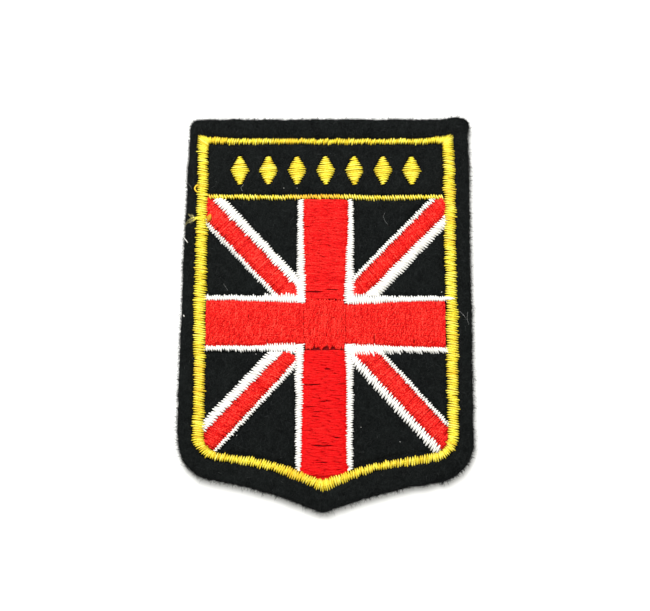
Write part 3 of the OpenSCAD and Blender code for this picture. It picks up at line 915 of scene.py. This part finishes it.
def thread_material(name, dark, base, light, warm, painted_shade, gloss, roughness, grainy):
    """Rayon thread: filaments twisted along it, its own tone from thread to thread, and darker towards its
    ends: painted shade where it dives into the felt, partly also the darker look of thread pressed into its
    hole. The same painted shade darkens the layers beneath.
    """
    s = Shader(name, Specular_IOR_Level=gloss)
    uv = s.node("SeparateXYZ", {0: s.along_thread()}).outputs
    # Filaments run along the thread and turn round it once in a few millimetres
    around = s.plus(s.times(uv[1], FILAMENT_TURNS), uv[0])
    coiled = s.node("CombineXYZ", {0: around, 1: uv[1]}).outputs[0]
    filaments = s.noise(s.stretched(coiled, (26, 0.9, 1)), 1.0, 2.0, 0.6)
    twist = s.math("SINE", s.times(around, 2 * math.pi * STRANDS))
    grain = s.noise(s.place(), 4200.0, 2.0, 0.6)
    shade = s.plus(s.attribute("tone"), s.swing(filaments, 0.9))
    shade = s.plus(shade, s.swing(grain, grainy))
    colour = s.mix(s.spread(shade, 0.0, 0.5), dark, base)
    colour = s.mix(s.spread(shade, 0.5, 1.1), colour, light)
    colour = s.mix(s.attribute("warmth"), colour, warm)
    # Painted shade: the depth mark darkens the colour at the threads' ends and on the layers beneath
    colour = s.mix(s.times(s.attribute("depth"), 0.8), colour, painted_shade)
    s.link(colour, "Base Color")
    s.link(s.spread(filaments, 0.3, 0.7, roughness - 0.08, roughness + 0.1), "Roughness")
    s.bump(s.plus(filaments, s.times(twist, 0.18)), 0.03, 0.5)
    return s.material


def felt_material(name, pit_shade, ground, pale):
    """Needled felt: matted fibres in every direction over a mottled ground, with painted shade in its pits,
    where the bump dips.
    """
    s = Shader(name, Specular_IOR_Level=0.06, Roughness=0.95)
    place = s.place()
    fibres = None
    for turn in FIBRE_TURNS:
        lines = s.noise(s.stretched(place, (7000, 800, 3000), turn), 1.0, 2.0, 0.6, 1.2)
        lines = s.spread(lines, 0.54, 0.72)
        fibres = lines if fibres is None else s.math("MAXIMUM", fibres, lines)
    mottle = s.noise(place, 420.0, 4.0, 0.6)
    grain = s.noise(place, 2600.0, 3.0, 0.7)
    lumps = s.plus(s.times(mottle, 0.5), s.times(grain, 0.5))
    # Partly mottle in the felt's colour, partly painted shade: the colour goes to the pit colour where the
    # bump dips
    colour = s.mix(s.spread(lumps, 0.38, 0.62), pit_shade, ground)
    s.link(s.mix(s.times(fibres, 0.5), colour, pale), "Base Color")
    s.link(s.spread(lumps, 0.3, 0.7, 0.85, 1.0), "Roughness")
    s.bump(s.plus(s.times(fibres, 0.6), lumps), 0.12, 0.9)
    return s.material


def fibre_material(name, dark, pale):
    """Loose fibres, some of them paler than others."""
    s = Shader(name, Roughness=0.8, Specular_IOR_Level=0.1)
    streak = s.noise(s.stretched(s.along_thread(), (3, 2, 1)), 1.0)
    shade = s.times(s.attribute("tone"), s.spread(streak, 0.3, 0.7, 0.75, 1.15))
    s.link(s.mix(shade, dark, pale), "Base Color")
    s.link(s.spread(streak, 0.3, 0.7, 0.7, 0.9), "Roughness")
    return s.material


# A thread's colour runs from dark through base to light with its tone, which differs at random. The light
# colours are partly a painted highlight: paler than the thread, as where it catches the light
gold = thread_material(
    "gold_thread", dark=(0.54, 0.38, 0.008, 1), base=(0.86, 0.74, 0.03, 1), light=(1.0, 0.97, 0.2, 1),
    warm=(0.82, 0.42, 0.015, 1), painted_shade=(0.3, 0.13, 0.003, 1), gloss=0.25, roughness=0.5, grainy=1.9)
# The red's warm colour is the clearer red that the arms are painted with, for their lesser sheen
red = thread_material(
    "red_thread", dark=(0.43, 0.0, 0.001, 1), base=(0.7, 0.004, 0.003, 1), light=(0.94, 0.07, 0.045, 1),
    warm=(0.68, 0.0, 0.002, 1), painted_shade=(0.18, 0.0, 0.002, 1), gloss=0.07, roughness=0.45, grainy=3.6)
white = thread_material(
    "white_thread", dark=(0.64, 0.63, 0.57, 1), base=(0.83, 0.815, 0.78, 1), light=(0.9, 0.89, 0.86, 1),
    warm=(0.85, 0.8, 0.62, 1), painted_shade=(0.72, 0.71, 0.68, 1), gloss=0.15, roughness=0.5, grainy=1.7)
felt_look = felt_material(
    "felt", pit_shade=(0.0004, 0.0008, 0.0008, 1), ground=(0.0052, 0.0066, 0.0063, 1),
    pale=(0.028, 0.031, 0.031, 1))
fuzz_look = fibre_material("felt_fuzz", dark=(0.003, 0.0035, 0.0035, 1), pale=(0.16, 0.17, 0.17, 1))
lint_look = fibre_material("lint", dark=(0.1, 0.1, 0.1, 1), pale=(0.75, 0.75, 0.74, 1))
straw_look = fibre_material("gold_fuzz", dark=(0.12, 0.09, 0.012, 1), pale=(0.75, 0.68, 0.32, 1))


# The felt

FELT_OUTLINE = spaced(foot_outlines("felt_ground")[0], 0.1, True)


def distances_to(outline, points):
    """How far points lie from an outline in the plan."""
    tree = KDTree(len(outline))
    for k, (x, y) in enumerate(outline.tolist()):
        tree.insert((x, y, 0), k)
    tree.balance()
    return np.array([tree.find((x, y, 0))[2] for x, y in points[:, :2].tolist()])


def rim_swell(xy):
    """How far the cut edge stands out beyond the frame's."""
    swell = np.zeros(len(xy))
    for x, y, reach, far in CUTS:
        swell += far * np.exp(-(((xy[:, 0] - x) ** 2 + (xy[:, 1] - y) ** 2) / reach ** 2) ** 2)
    return swell


def lumpy(points, size):
    """Smooth noise from -1 to 1 in space, with lumps of about a size."""
    return np.array([noise.noise(p) for p in (points / size).tolist()])


def felt_ground():
    """The felt shield: the frame's solid remeshed finely, with a needled face and a cut, wandering rim."""
    source = in_scene("felt_ground_source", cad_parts["felt_ground"].data.copy())
    remesh = source.modifiers.new("voxels", "REMESH")
    remesh.mode = "VOXEL"
    remesh.voxel_size = FELT_VOXEL * MM
    even = source.modifiers.new("even", "SMOOTH")
    even.factor = 0.5
    even.iterations = 2
    graph = bpy.context.evaluated_depsgraph_get()
    mesh = bpy.data.meshes.new_from_object(source.evaluated_get(graph))
    bpy.data.objects.remove(source)
    mesh.name = "felt"
    points, normals = read(mesh.vertices, "co") / MM, read(mesh.vertices, "normal")
    fine, coarse = (lumpy(points, size) for size in LUMP_SIZES)
    near_rim = smooth((1.1 - distances_to(FELT_OUTLINE, points)) / 0.6)
    rim = near_rim * smooth((0.95 - np.abs(normals[:, 2])) / 0.5)
    face = (normals[:, 2] > 0) * smooth((points[:, 2] - 1.3) / 0.3)
    shift = FELT_RELIEF * (fine + 0.8 * coarse) * np.maximum(face, 0.25)
    shift += rim * (rim_swell(points[:, :2]) + RIM_WOBBLE * (0.7 * coarse + fine))
    points = points + normals * shift[:, None]
    back = normals[:, 2] < -0.7
    points[back, 2] = 0.02 * (1 + fine[back])
    points[:, 2] = np.maximum(points[:, 2], 0.0)
    mesh.vertices.foreach_set("co", flat(points * MM))
    mesh.polygons.foreach_set("use_smooth", np.ones(len(mesh.polygons), bool))
    mesh.materials.clear()
    mesh.update()
    return piece_of(mesh, felt_look, "felt", ["felt_ground"])


def fibre_paths(roots, headings, lengths, lifts, rng, points=4):
    """Short curling fibres from their roots, each towards its heading and lifted at its middle."""
    s = np.linspace(0, 1, points)
    curl = rng.normal(0, 0.35, len(roots)) * lengths
    xy = (
        roots[:, None, :2]
        + headings[:, None] * (lengths[:, None] * s)[..., None]
        - right_of(headings)[:, None] * (curl[:, None] * s * s)[..., None]
    )
    return raised(xy, roots[:, None, 2] + lifts[:, None] * np.sin(math.pi * s * 0.8))


def strands(name, sides, paths, girth, tone, look, slot):
    """A piece of loose round threads."""
    threads = Threads(name, sides)
    threads.add(np.array(paths), girth, girth, tone)
    return threads.build(look, slot)


def face_fuzz():
    """Fibres that lie loose on the bare felt, a few of them pale."""
    rng = np.random.default_rng(101)
    low, high = (np.array(corner[:2]) / MM for corner in cad_box)
    xy = rng.uniform(low, high, (FACE_FIBRES * 6, 2))
    bare = np.abs(relief.at(xy, relief.bare) - FELT_TOP) < 0.12
    xy = xy[bare][:FACE_FIBRES]
    count = len(xy)
    roots = raised(xy, relief.at(xy, relief.bare) - FIBRE_DEPTH)
    angle = rng.uniform(0, 2 * math.pi, count)
    lengths, lifts = rng.uniform(*FACE_LENGTHS, count), rng.uniform(*FACE_LIFTS, count)
    paths = fibre_paths(roots, plan(np.cos(angle), np.sin(angle)), lengths, lifts, rng)
    tone = rng.uniform(0, 0.16, count) + (rng.random(count) < 0.05) * 0.35
    girth = rng.uniform(*FACE_GIRTHS, (count, 1))
    return strands("felt_fuzz", 3, paths, girth, tone[:, None], fuzz_look, "felt")


def rim_fuzz(felt):
    """Fibres that stand out of the felt's cut edge, rooted in its mesh."""
    rng = np.random.default_rng(102)
    points, normals = read(felt.data.vertices, "co") / MM, read(felt.data.vertices, "normal")
    steep = (np.abs(normals[:, 2] - 0.2) < 0.72) & (points[:, 2] > 0.4)
    points, normals = points[steep], normals[steep]
    at_rim = distances_to(FELT_OUTLINE, points) < 1.2
    points, normals = points[at_rim], normals[at_rim]
    pick = rng.integers(0, len(points), RIM_FIBRES)
    out = unit(normals[pick, :2])
    ahead = -right_of(out)
    turn = rng.normal(0, RIM_TURN, (RIM_FIBRES, 1))
    heading = out * np.cos(turn) + ahead * np.sin(turn)
    roots = points[pick] + rng.uniform(-0.15, 0.15, (RIM_FIBRES, 1)) * np.insert(ahead, 2, 0, 1)
    roots[:, :2] -= RIM_DEPTH * out
    lengths = RIM_SHORTEST + rng.exponential(0.2, RIM_FIBRES).clip(0, 1.1)
    paths = fibre_paths(roots, heading, lengths, rng.normal(0.04, 0.14, RIM_FIBRES), rng)
    paths[..., 2] = np.maximum(paths[..., 2], FIBRE_DEPTH)
    girth = rng.uniform(*RIM_GIRTHS, (RIM_FIBRES, 1)) * np.array([1, 0.9, 0.7, 0.4])
    tone = rng.uniform(0, 0.12, (RIM_FIBRES, 1))
    return strands("felt_rim_fuzz", 3, paths, girth, tone, fuzz_look, "felt")


# The stitched pieces

def gold_warmth(xy, rng):
    """How orange a gold thread looks: in patches, and more at the foot."""
    patch = smooth((wave(xy, 4.0, 11) - 0.1) / 0.5) * 0.3
    foot = 0.15 * smooth((-26 - xy[:, 1]) / 10)
    return np.clip(patch + foot + rng.normal(0.04, 0.12, len(xy)), 0, 1)


def gold_dulled(xy):
    """The border is a little duller along its left side and its top."""
    return -0.12 * smooth((-20 - xy[:, 0]) / 4) - 0.1 * smooth((xy[:, 1] - 30) / 4)


def rule_warmth(xy, rng):
    """The rule takes the red's tint where it crosses the arm, and at its left end."""
    over = np.exp(-((xy[:, 0] + 2.0) / 5.5) ** 4)
    left = np.exp(-((xy[:, 0] + 24.5) / 1.5) ** 2)
    return np.clip(0.75 * over + 0.4 * left + rng.normal(0.0, 0.1, len(xy)), 0, 1)


def column(name, rails, seed, style, material, slot, **how):
    """A piece that is one column of satin and stands for one node."""
    threads = Threads(name + "_thread")
    satin(threads, *rails, seed, **style, **how)
    return threads.build(material, slot, name)


def flared(xy):
    """The border's line drawn out at the top corners."""
    xy = xy.copy()
    low, high = box("border")
    for side, rise in FLARES:
        inward = (high[0] - xy[:, 0]) if side > 0 else (xy[:, 0] - low[0])
        xy[:, 1] += rise * smooth(1 - inward / FLARE_W) * smooth(1 - (high[1] - xy[:, 1]) / FLARE_H)
    return xy


def border_line(xy, top, foot, left, right, seed):
    """One line of the border, drawn off the frame's as the stitching pulls it."""
    x, y = xy.T
    at_top = smooth((y - box("border")[1][1] + 3.5) / 1.5)
    at_foot = smooth((-27.0 - y) / 2.0)
    at_side = 1 - np.maximum(at_top, at_foot)
    rise = at_top * drawn(top, x) + at_foot * drawn(foot, x)
    shift = at_side * np.where(x < 0, drawn(left, y), drawn(right, y))
    return pulled(flared(xy + plan(shift, rise)), *PULL["border"], seed)


BORDER_OUTER = spaced(foot_outlines("border")[0], FINE_STEP, True)
BORDER_INNER = fanned(BORDER_OUTER, foot_outlines("border")[1], FAN)
RULE_LOW = box("title_rule")[0][1]


def beyond_border(xy, share):
    """The nearest places on the line at a share of the way over the border, and which places lie beyond."""
    line, out = BORDER_INNER[::4], (BORDER_OUTER - BORDER_INNER)[::4]
    line = line + share * out
    nearest = ((xy[:, None] - line) ** 2).sum(2).argmin(1)
    return line[nearest], ((xy - line[nearest]) * out[nearest]).sum(1) > 0


def below_border(xy):
    """1 where places lie under the border or the rule, and 0 elsewhere."""
    beyond = beyond_border(xy.reshape(-1, 2), UNDER_FROM)[1].reshape(xy.shape[:-1])
    return (beyond | (xy[..., 1] > RULE_LOW + UNDER_FROM)) * 1.0


def border():
    """The golden line inside the felt's edge, one closed run of satin."""
    outer = border_line(BORDER_OUTER, TOP_OUTER, FOOT_OUTER, LEFT_OUTER, RIGHT_OUTER, 21)
    inner = border_line(BORDER_INNER, TOP_INNER, FOOT_INNER, LEFT_INNER, RIGHT_INNER, 21)
    return column("border", (outer, inner), 1, GOLD, gold, "gold_thread", closed=True, bite=(0.14, 0.14),
                  ragged=(0.11, 0.11), lean=0.18, lift=GOLD_LIFT, warmth=gold_warmth, dulled=gold_dulled,
                  inset=(0.52, 0.52))


def title_rule():
    """The golden line below the panel."""
    rails = band_rails(foot_outlines("title_rule")[0], (1.0, 0.0))
    for rail, rows in zip(rails, (RULE_UPPER, RULE_LOWER)):
        rail[:, 1] += drawn(rows, rail[:, 0])
    rails = [pulled(rail, *PULL["rule"], 22) for rail in rails]
    return column("title_rule", rails, 2, RULE, gold, "gold_thread", bite=(0.1, 0.14), ragged=(0.07, 0.09),
                  lean=0.16, lift=GOLD_LIFT, warmth=rule_warmth, inset=(0.32, 0.32))


def motif(name):
    """A golden lozenge in the panel."""
    rails = band_rails(foot_outlines(name)[0], (0.0, 1.0))
    return column(name, rails, 30 + int(name[-1]), GOLD, gold, "gold_thread", bite=(0.08, 0.08),
                  ragged=(0.07, 0.07), lift=MOTIF_LIFT, warmth=gold_warmth, dulled=lambda xy: MOTIF_DULLED)


def cross_bar():
    """The red bar: upright rows, broken often at the sides, with longer stitches between the arms."""
    rng = np.random.default_rng(3)
    low, high = box("cross_bar")
    x = np.arange(low[0] + ROW_PITCH / 2, high[0], ROW_PITCH)
    foot = drawn(BAR_FOOT_EDGE, x) - UNDER_EDGING
    top = drawn(BAR_TOP_EDGE, x) + UNDER_EDGING
    left, right = ARM_EDGES["bottom_left"][-1][1], ARM_EDGES["bottom_right"][-1][1]
    middle = (x > left + 0.1) & (x < right - 0.1)
    foot[middle], top[middle] = BAR_MIDDLE_LOW, BAR_MIDDLE_HIGH
    for at, half, depth in SHORT_BELOW:
        foot += depth * np.exp(-((x - at) / half) ** 4) * (1 + rng.normal(0, 0.25, len(x)))
    for at, half, depth in SHORT_ABOVE:
        top -= depth * np.exp(-((x - at) / half) ** 4)
    stitch = np.where(middle, BAR_MIDDLE_STITCH, BAR_STITCH)
    lean = np.where(middle, BAR_MIDDLE_LEAN, BAR_LEAN)
    # The middle rows keep their height up to their ends
    under = np.where(middle, -1.5, UNDER_EDGING)
    threads = Threads("cross_bar_thread")
    fill(threads, plan(x, foot), plan(x, top), 3, stitch, lean, under, BAR_STARTS, lift=BAR_LIFT,
         gaps=PARTINGS, axis=1)
    # A low ground, painted with shade, where the middle stitches meet the arms' rows, so that gaps there look
    # dark red
    for y in (BAR_MIDDLE_LOW, BAR_MIDDLE_HIGH):
        ground = np.meshgrid(x[middle][::2], y + np.linspace(-0.9, 0.9, 5), indexing="ij")
        ground.append(np.full_like(ground[0], PRESSED + FILL_RISE - THREAD_H - 0.12))
        threads.add_layer(np.stack(ground, -1), SHADED_BED)
    return threads.build(red, "red_thread", "cross_bar")


def cross_arm(name, seed):
    """A red arm: level rows of long stitches, with slits between them."""
    low, high = box(name)
    upper = name.endswith("top")
    lap = 0 if upper else BORDER_LAP
    y = np.arange(low[1] - lap + ROW_PITCH / 2, high[1], ROW_PITCH)
    y = y[y > BAR_MIDDLE_HIGH + 0.1] if upper else y[y < BAR_MIDDLE_LOW - 0.1]
    half = "top_" if upper else "bottom_"
    left = drawn(ARM_EDGES[half + "left"], y) - UNDER_EDGING
    right = drawn(ARM_EDGES[half + "right"], y) + UNDER_EDGING
    # Towards the patch's tip the arm narrows with the border, under which it passes
    first, last = crossings(foot_outlines(name)[0], plan(0 * y, y + lap), np.array([1.0, 0.0]))
    lift = -0.35 * smooth((low[1] + 0.5 - y) / 0.5) * (lap > 0)
    left, right = np.maximum(left, first - UNDER_EDGING), np.minimum(right, last + UNDER_EDGING)
    rng = np.random.default_rng(seed + 200)
    ranges = [(low[0] + 1, high[0] - 1), (y.min(), y.max()), (0.25, 0.8), (0.03, 0.1)]
    small = np.stack([rng.uniform(*ends, SMALL_SLITS[name]) for ends in ranges], 1).tolist()
    threads = Threads(name + "_thread")
    fill(threads, plan(left, y), plan(right, y), seed, ARM_STITCH, ARM_LEAN, UNDER_EDGING, ARM_STARTS,
         lift=lift, gaps=SLITS + small, bed=SHADED_BED, less_sheen=ARM_LESS_SHEEN[name])
    return threads.build(red, "red_thread", name)


def edging(quarter, seed):
    """The white edging in one quarter: an upright and a level run of satin that share the corner."""
    name = "edging_" + quarter
    upper, on_right = "top" in quarter, "right" in quarter
    way = 1 if on_right else -1
    outline = foot_outlines(name)[0]
    corner = outline[np.linalg.norm(outline - [0, box("cross_bar")[0][1] / 2], axis=1).argmin()]
    end_x, end_y = outline[np.abs(outline - corner).argmax(0), (0, 1)]
    threads = Threads(name + "_thread")
    # The upright run, along the arm. Its foot goes under the border
    lap = 0 if upper else BORDER_LAP
    y = np.arange(*sorted((corner[1] - (CORNER_MORE if upper else -CORNER_MORE), end_y - lap)), FINE_STEP)
    rails = [drawn(table[quarter], y) for table in (ARM_EDGES, UPRIGHT_OUTER)]
    rails = [pulled(plan(x, y), *PULL["edging"], 40 + seed) for x in rails]
    rails, bite, inset = (side[::way] for side in (rails, EDGING_BITE, (0.26, 0.4)))
    satin(threads, *rails, seed, **WHITE, bite=bite, ragged=(0.09, 0.09), lean=0.1, lift=WHITE_LIFT,
          tuck=(lap, 0), inset=inset)
    # The level run, along the bar, with its outer end under the border
    x = np.arange(*sorted((corner[0] - CORNER_MORE * way, end_x + BORDER_LAP * way)), FINE_STEP)
    rails = [drawn(rows, x) for rows in (LEVEL_OUTER[quarter], BAR_TOP_EDGE if upper else BAR_FOOT_EDGE)]
    rails = [pulled(plan(x, y), *PULL["edging"], 50 + seed) for y in rails]
    fray, keep_off = LEVEL_FRAY[quarter]
    sides = (rails, EDGING_BITE[::-1], (fray, 0.09), (keep_off, 0.26))
    rails, bite, ragged, inset = (side[::1 if upper else -1] for side in sides)
    satin(threads, *rails, seed + 1, **WHITE, bite=bite, ragged=ragged, lean=LEVEL_LEAN[quarter],
          lift=WHITE_LIFT, tuck=(0, BORDER_LAP)[::way], inset=inset)
    return threads.build(white, "white_thread", name)


def saltire_lines(quarter, rails, direction, first):
    """The two rails of a diagonal column, pulled to the right as the lines from the first one are. The
    outer end, which the border cuts off aslant in the frame, runs on straight."""
    across = right_of(direction)
    out = np.linspace(0, 1, len(rails[0]))[::1 if "top" in quarter else -1]
    start, end = STRAIGHT_PART
    whole = (out > start) & (out < end)
    for rail, (far, near) in zip(rails, SALTIRE_PULL[quarter][first:]):
        off = rail @ across
        straight = np.polyval(np.polyfit(out[whole], off[whole], 1), out)
        shift = np.where(out > end, straight - off, 0) + near + (far - near) * out
        yield rail + shift[:, None] * across


def held_under_border(rail):
    """A rail that goes no further than the border's middle, or the rule's."""
    nearest, beyond = beyond_border(rail, 0.5)
    return np.minimum(np.where(beyond[:, None], nearest, rail), (np.inf, RULE_LOW + RULE_HALF))


def saltire(part, quarter, seed):
    """One of a diagonal arm's three columns. The white ones' teeth bite over the red."""
    name = f"saltire_{part}_{quarter}"
    outline, red_outline = (foot_outlines(n)[0] for n in (name, "saltire_red_" + quarter))
    direction = long_direction(outline)
    across = right_of(direction)
    red_on_right = (red_outline @ across).max() > (outline @ across).max()
    first = 1 if part == "red" else 0 if red_on_right else 2
    rails = saltire_lines(quarter, band_rails(outline, direction), direction, first)
    # Both ends go under what lies there: the outer one under the border, the other under the edging
    laps = (EDGING_LAP, BORDER_LAP)[::1 if "top" in quarter else -1]
    rails = [pulled(lengthened(rail, *laps), *PULL["saltire"], 60 + seed) for rail in rails]
    rails = [held_under_border(rail) for rail in rails]
    how = dict(lean=SALTIRE_LEAN.get(name, 0), tuck=laps, below=below_border)
    if part == "red":
        how.update(bite=RED_SPREAD, lift=RED_LIFT)
        return column(name, rails, seed, SALTIRE_RED, red, "red_thread", **how)
    # On the black side first, then on the red side
    sides = WIDE_SIDES[quarter] if part == "wide" else NARROW_SIDES
    bite, ragged, inset = (side[::1 if red_on_right else -1] for side in sides)
    style = WHITE_NARROW if part == "narrow" else WHITE_COMBED if quarter == "bottom_right" else WHITE_WIDE
    how.update(bite=bite, ragged=ragged, inset=inset, lift=WHITE_LIFT)
    return column(name, rails, seed, style, white, "white_thread", **how)


# What has come loose or fallen on the patch

GOLD_LOOP = [
    (-26.8, 26.9, 1.9), (-27.2, 26.85, 2), (-27.6, 26.15, 2.02), (-27.2, 25.45, 2), (-26.8, 25.4, 1.9),
]
GOLD_BIT = [
    (-24.5, 20.35, 2), (-24.38, 20.1, 2.25), (-24.34, 19.7, 2.3), (-24.38, 19.35, 2.25), (-24.5, 19.1, 2),
]
FUZZ_TIPS = [(-28.6, 20.9), (-29.3, 18.3), (-29, 20.4), (-29.6, 17.9), (-28.4, 18.2), (-29.4, 19.2)]
WHITE_BIT = [(-29.95, 16.1, 1.75), (-29.7, 15.6, 1.95), (-29.3, 15.1, 1.93), (-28.8, 14.4, 1.9)]

# Each strand's y and how far it reaches over the border
WHITE_OVER = [(2.75, -0.2), (2.6, 0.4), (2.45, 0.75), (2.3, 0.1)]
SPECKS = [
    (-29.35, -1.1), (-29.28, -1.22), (-8.8, 26.3), (-6, 26.3), (-12.15, 27.2), (15.1, -27.3), (7.2, -24.3),
    (-14.35, -9.2), (-18.1, -26), (24.05, 3.85), (28.4, -1),
]

# x, y and the height above the felt
HAIRS = [
    [(-29.1, 27.7, 0), (-28.8, 27, 0.1), (-28.3, 26.5, 0)],
    [(-28.9, 27.2, 0), (-28.4, 26.6, 0.1), (-28.2, 26, 0)],
    [(12.4, 20.9, 0), (12, 20.1, 0.08), (12.4, 19.1, 0.05), (13.1, 18.2, 0)],
    [(-21.2, 5.6, 0), (-20.8, 5, 0.05), (-20.3, 4.2, 0)],
    [(27.65, -0.15, 0), (28.5, -0.95, 0.08), (29.23, -2.03, -0.05)],
    [(29.39, -0.39, 0), (29.2, -1.4, 0.08), (29.35, -2.4, 0.05), (29.7, -3.3, -0.15)],
    [(-30.1, 19.6, -0.1), (-29.7, 19, 0.1), (-29.6, 17.9, 0)],
    [(-17.5, 25.6, 0), (-17.9, 26.4, 0.05), (-17.2, 27.1, 0)],
]


def curve_through(points, count):
    """A smooth line through a few points."""
    points = np.array(points, float)
    line = spaced(points, lengths_along(points)[-1] / 60)
    for _ in range(12):
        line[1:-1] = (line[:-2] + 2 * line[1:-1] + line[2:]) / 4
    return points_at(line, np.arange(len(line)), np.linspace(0, 1, count) * (len(line) - 1))


def loose_gold():
    """At the border's left edge a frayed end and a loop of gold thread, and a bit of thread over the red."""
    rng = np.random.default_rng(7)
    frayed = []
    for _ in range(8):
        root = np.array([-27.0, 19.85 + rng.normal(0, 0.12), 1.95])
        tip = root + [-rng.uniform(0.5, 1.3), rng.normal(-0.1, 0.3), rng.normal(0, 0.08)]
        frayed.append(curve_through([root + [0.5, 0, -0.1], root, (root + tip) / 2, tip], 10))
    threads = Threads("loose_gold", 5)
    girth = rng.uniform(0.1, 0.16, (len(frayed), 1)) * np.linspace(1, 0.5, 10)
    threads.add(np.array(frayed), girth, girth, rng.uniform(0.5, 0.9, (len(frayed), 1)))
    threads.add(curve_through(GOLD_LOOP, 14)[None], 0.34, 0.22, 0.45, 0.6)
    bit = [curve_through(np.array(GOLD_BIT) + [side, 0.8 * side, -0.2 * abs(side)], 14)
           for side in (-0.27, 0.0, 0.25)]
    threads.add(np.array(bit), 0.34, 0.26, np.array([[0.3], [0.6], [0.4]]), 1.0, 0.6)
    return threads.build(gold, "gold_thread")


def gold_fuzz():
    """The finest fibres of the frayed end, some paler than others."""
    rng = np.random.default_rng(9)
    paths = []
    for k in range(26):
        root = np.array([-27.5, 19.85 + rng.normal(0, 0.2), 1.95])
        tip = np.array([*FUZZ_TIPS[k % len(FUZZ_TIPS)], 1.95]) + rng.normal(0, 0.3, 3) * [1, 1, 0.4]
        tip = root + (tip - root) * rng.uniform(0.4, 1.0)
        bend = rng.normal(0, 0.25, 3) * [1, 1, 0.3]
        paths.append(curve_through([root, (root + tip) / 2 + bend, tip], 10))
    girth = rng.uniform(0.03, 0.06, (len(paths), 1)) * np.linspace(1, 0.7, 10)
    tone = rng.uniform(0.4, 1.0, (len(paths), 1))
    return strands("gold_fuzz", 4, paths, girth, tone, straw_look, "gold_thread")


def loose_white():
    """A bit of white thread on the left margin, the edging's last stitch where it lies over the border, and
    small specks on the felt, the first two of them large and pale."""
    rng = np.random.default_rng(8)
    threads = Threads("loose_white", 5)
    threads.add(curve_through(WHITE_BIT, 10)[None], 0.16, 0.14, 0.7)
    over = [[(24.5, y, 1.9), (25.1, y, 2.2), (26.0 + reach, y - 0.06, 2.27)] for y, reach in WHITE_OVER]
    threads.add(np.array([curve_through(line, 8) for line in over]), 0.22, 0.14, 0.7)
    paths = []
    for x, y in SPECKS:
        heading = rng.uniform(0, 2 * math.pi)
        step = rng.uniform(0.05, 0.12) * np.array([math.cos(heading), math.sin(heading), 0])
        middle = np.array([x, y, FELT_TOP + 0.02])
        paths.append([middle - step, middle, middle + step])
    small = len(SPECKS) - 2
    girth = np.array([0.2] * 2 + [0.09] * small)[:, None]
    tone = np.concatenate([[0.9] * 2, rng.uniform(0.2, 0.9, small)])[:, None]
    threads.add(np.array(paths), girth, 0.9 * girth, tone)
    return threads.build(white, "white_thread")


def lint():
    """Fine pale hairs that have fallen on the felt."""
    paths = [curve_through(np.array(hair) + [0, 0, FELT_TOP + 0.03], 12) for hair in HAIRS]
    tone = np.linspace(0.2, 0.45, len(HAIRS))[:, None]
    return strands("lint", 4, paths, 0.03, tone, lint_look, "felt")


QUARTERS = ("top_left", "top_right", "bottom_left", "bottom_right")

felt = felt_ground()
pieces = [face_fuzz(), rim_fuzz(felt), border(), title_rule()]
pieces += [motif(name) for name in sorted(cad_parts) if name.startswith("motif_")]
pieces += [cross_bar(), cross_arm("cross_arm_top", 4), cross_arm("cross_arm_bottom", 5)]
for q, quarter in enumerate(QUARTERS):
    pieces.append(edging(quarter, 50 + 2 * q))
    pieces += [saltire(part, quarter, 70 + 10 * k + q) for k, part in enumerate(("red", "wide", "narrow"))]
pieces += [loose_gold(), gold_fuzz(), loose_white(), lint()]


# The stage

def floor():
    """White paper just below the patch's back."""
    mesh = bpy.data.meshes.new("floor")
    corners = [(FLOOR_HALF * x, FLOOR_HALF * y, 0) for x, y in ((-1, -1), (1, -1), (1, 1), (-1, 1))]
    mesh.from_pydata(corners, [], [(0, 1, 2, 3)])
    plane = in_scene("floor", mesh)
    plane.location.z = -0.02 * MM
    paper = Shader("floor", Base_Color=(0.9, 0.9, 0.885, 1), Roughness=0.9, Specular_IOR_Level=0.2)
    mesh.materials.append(paper.material)


def aimed(name, data, at, to):
    """A lamp or camera at a place, turned towards another."""
    made = in_scene(name, data)
    made.location = Vector(at) * MM
    made.rotation_mode = "QUATERNION"
    made.rotation_quaternion = (Vector(to) - Vector(at)).to_track_quat("-Z", "Y")
    return made


def studio():
    """The white surround and the lamp."""
    world = bpy.data.worlds.new("studio")
    world.use_nodes = True
    background = world.node_tree.nodes["Background"]
    background.inputs[0].default_value = (1, 1, 0.965, 1)
    background.inputs[1].default_value = SURROUND
    bpy.context.scene.world = world
    light = bpy.data.lights.new("key", "AREA")
    light.energy, light.size = KEY_WATTS, KEY_SIZE * MM
    aimed("key", light, KEY_AT, (0, 0, 0))
    bpy.context.scene.view_settings.view_transform = "Standard"


def camera():
    """The photo's point of view."""
    data = bpy.data.cameras.new("camera")
    data.lens, data.sensor_width = LENS, 36
    data.clip_start, data.clip_end = 0.01, 10
    bpy.context.scene.camera = aimed("camera", data, CAMERA_AT, CAMERA_TO)


floor()
studio()
camera()
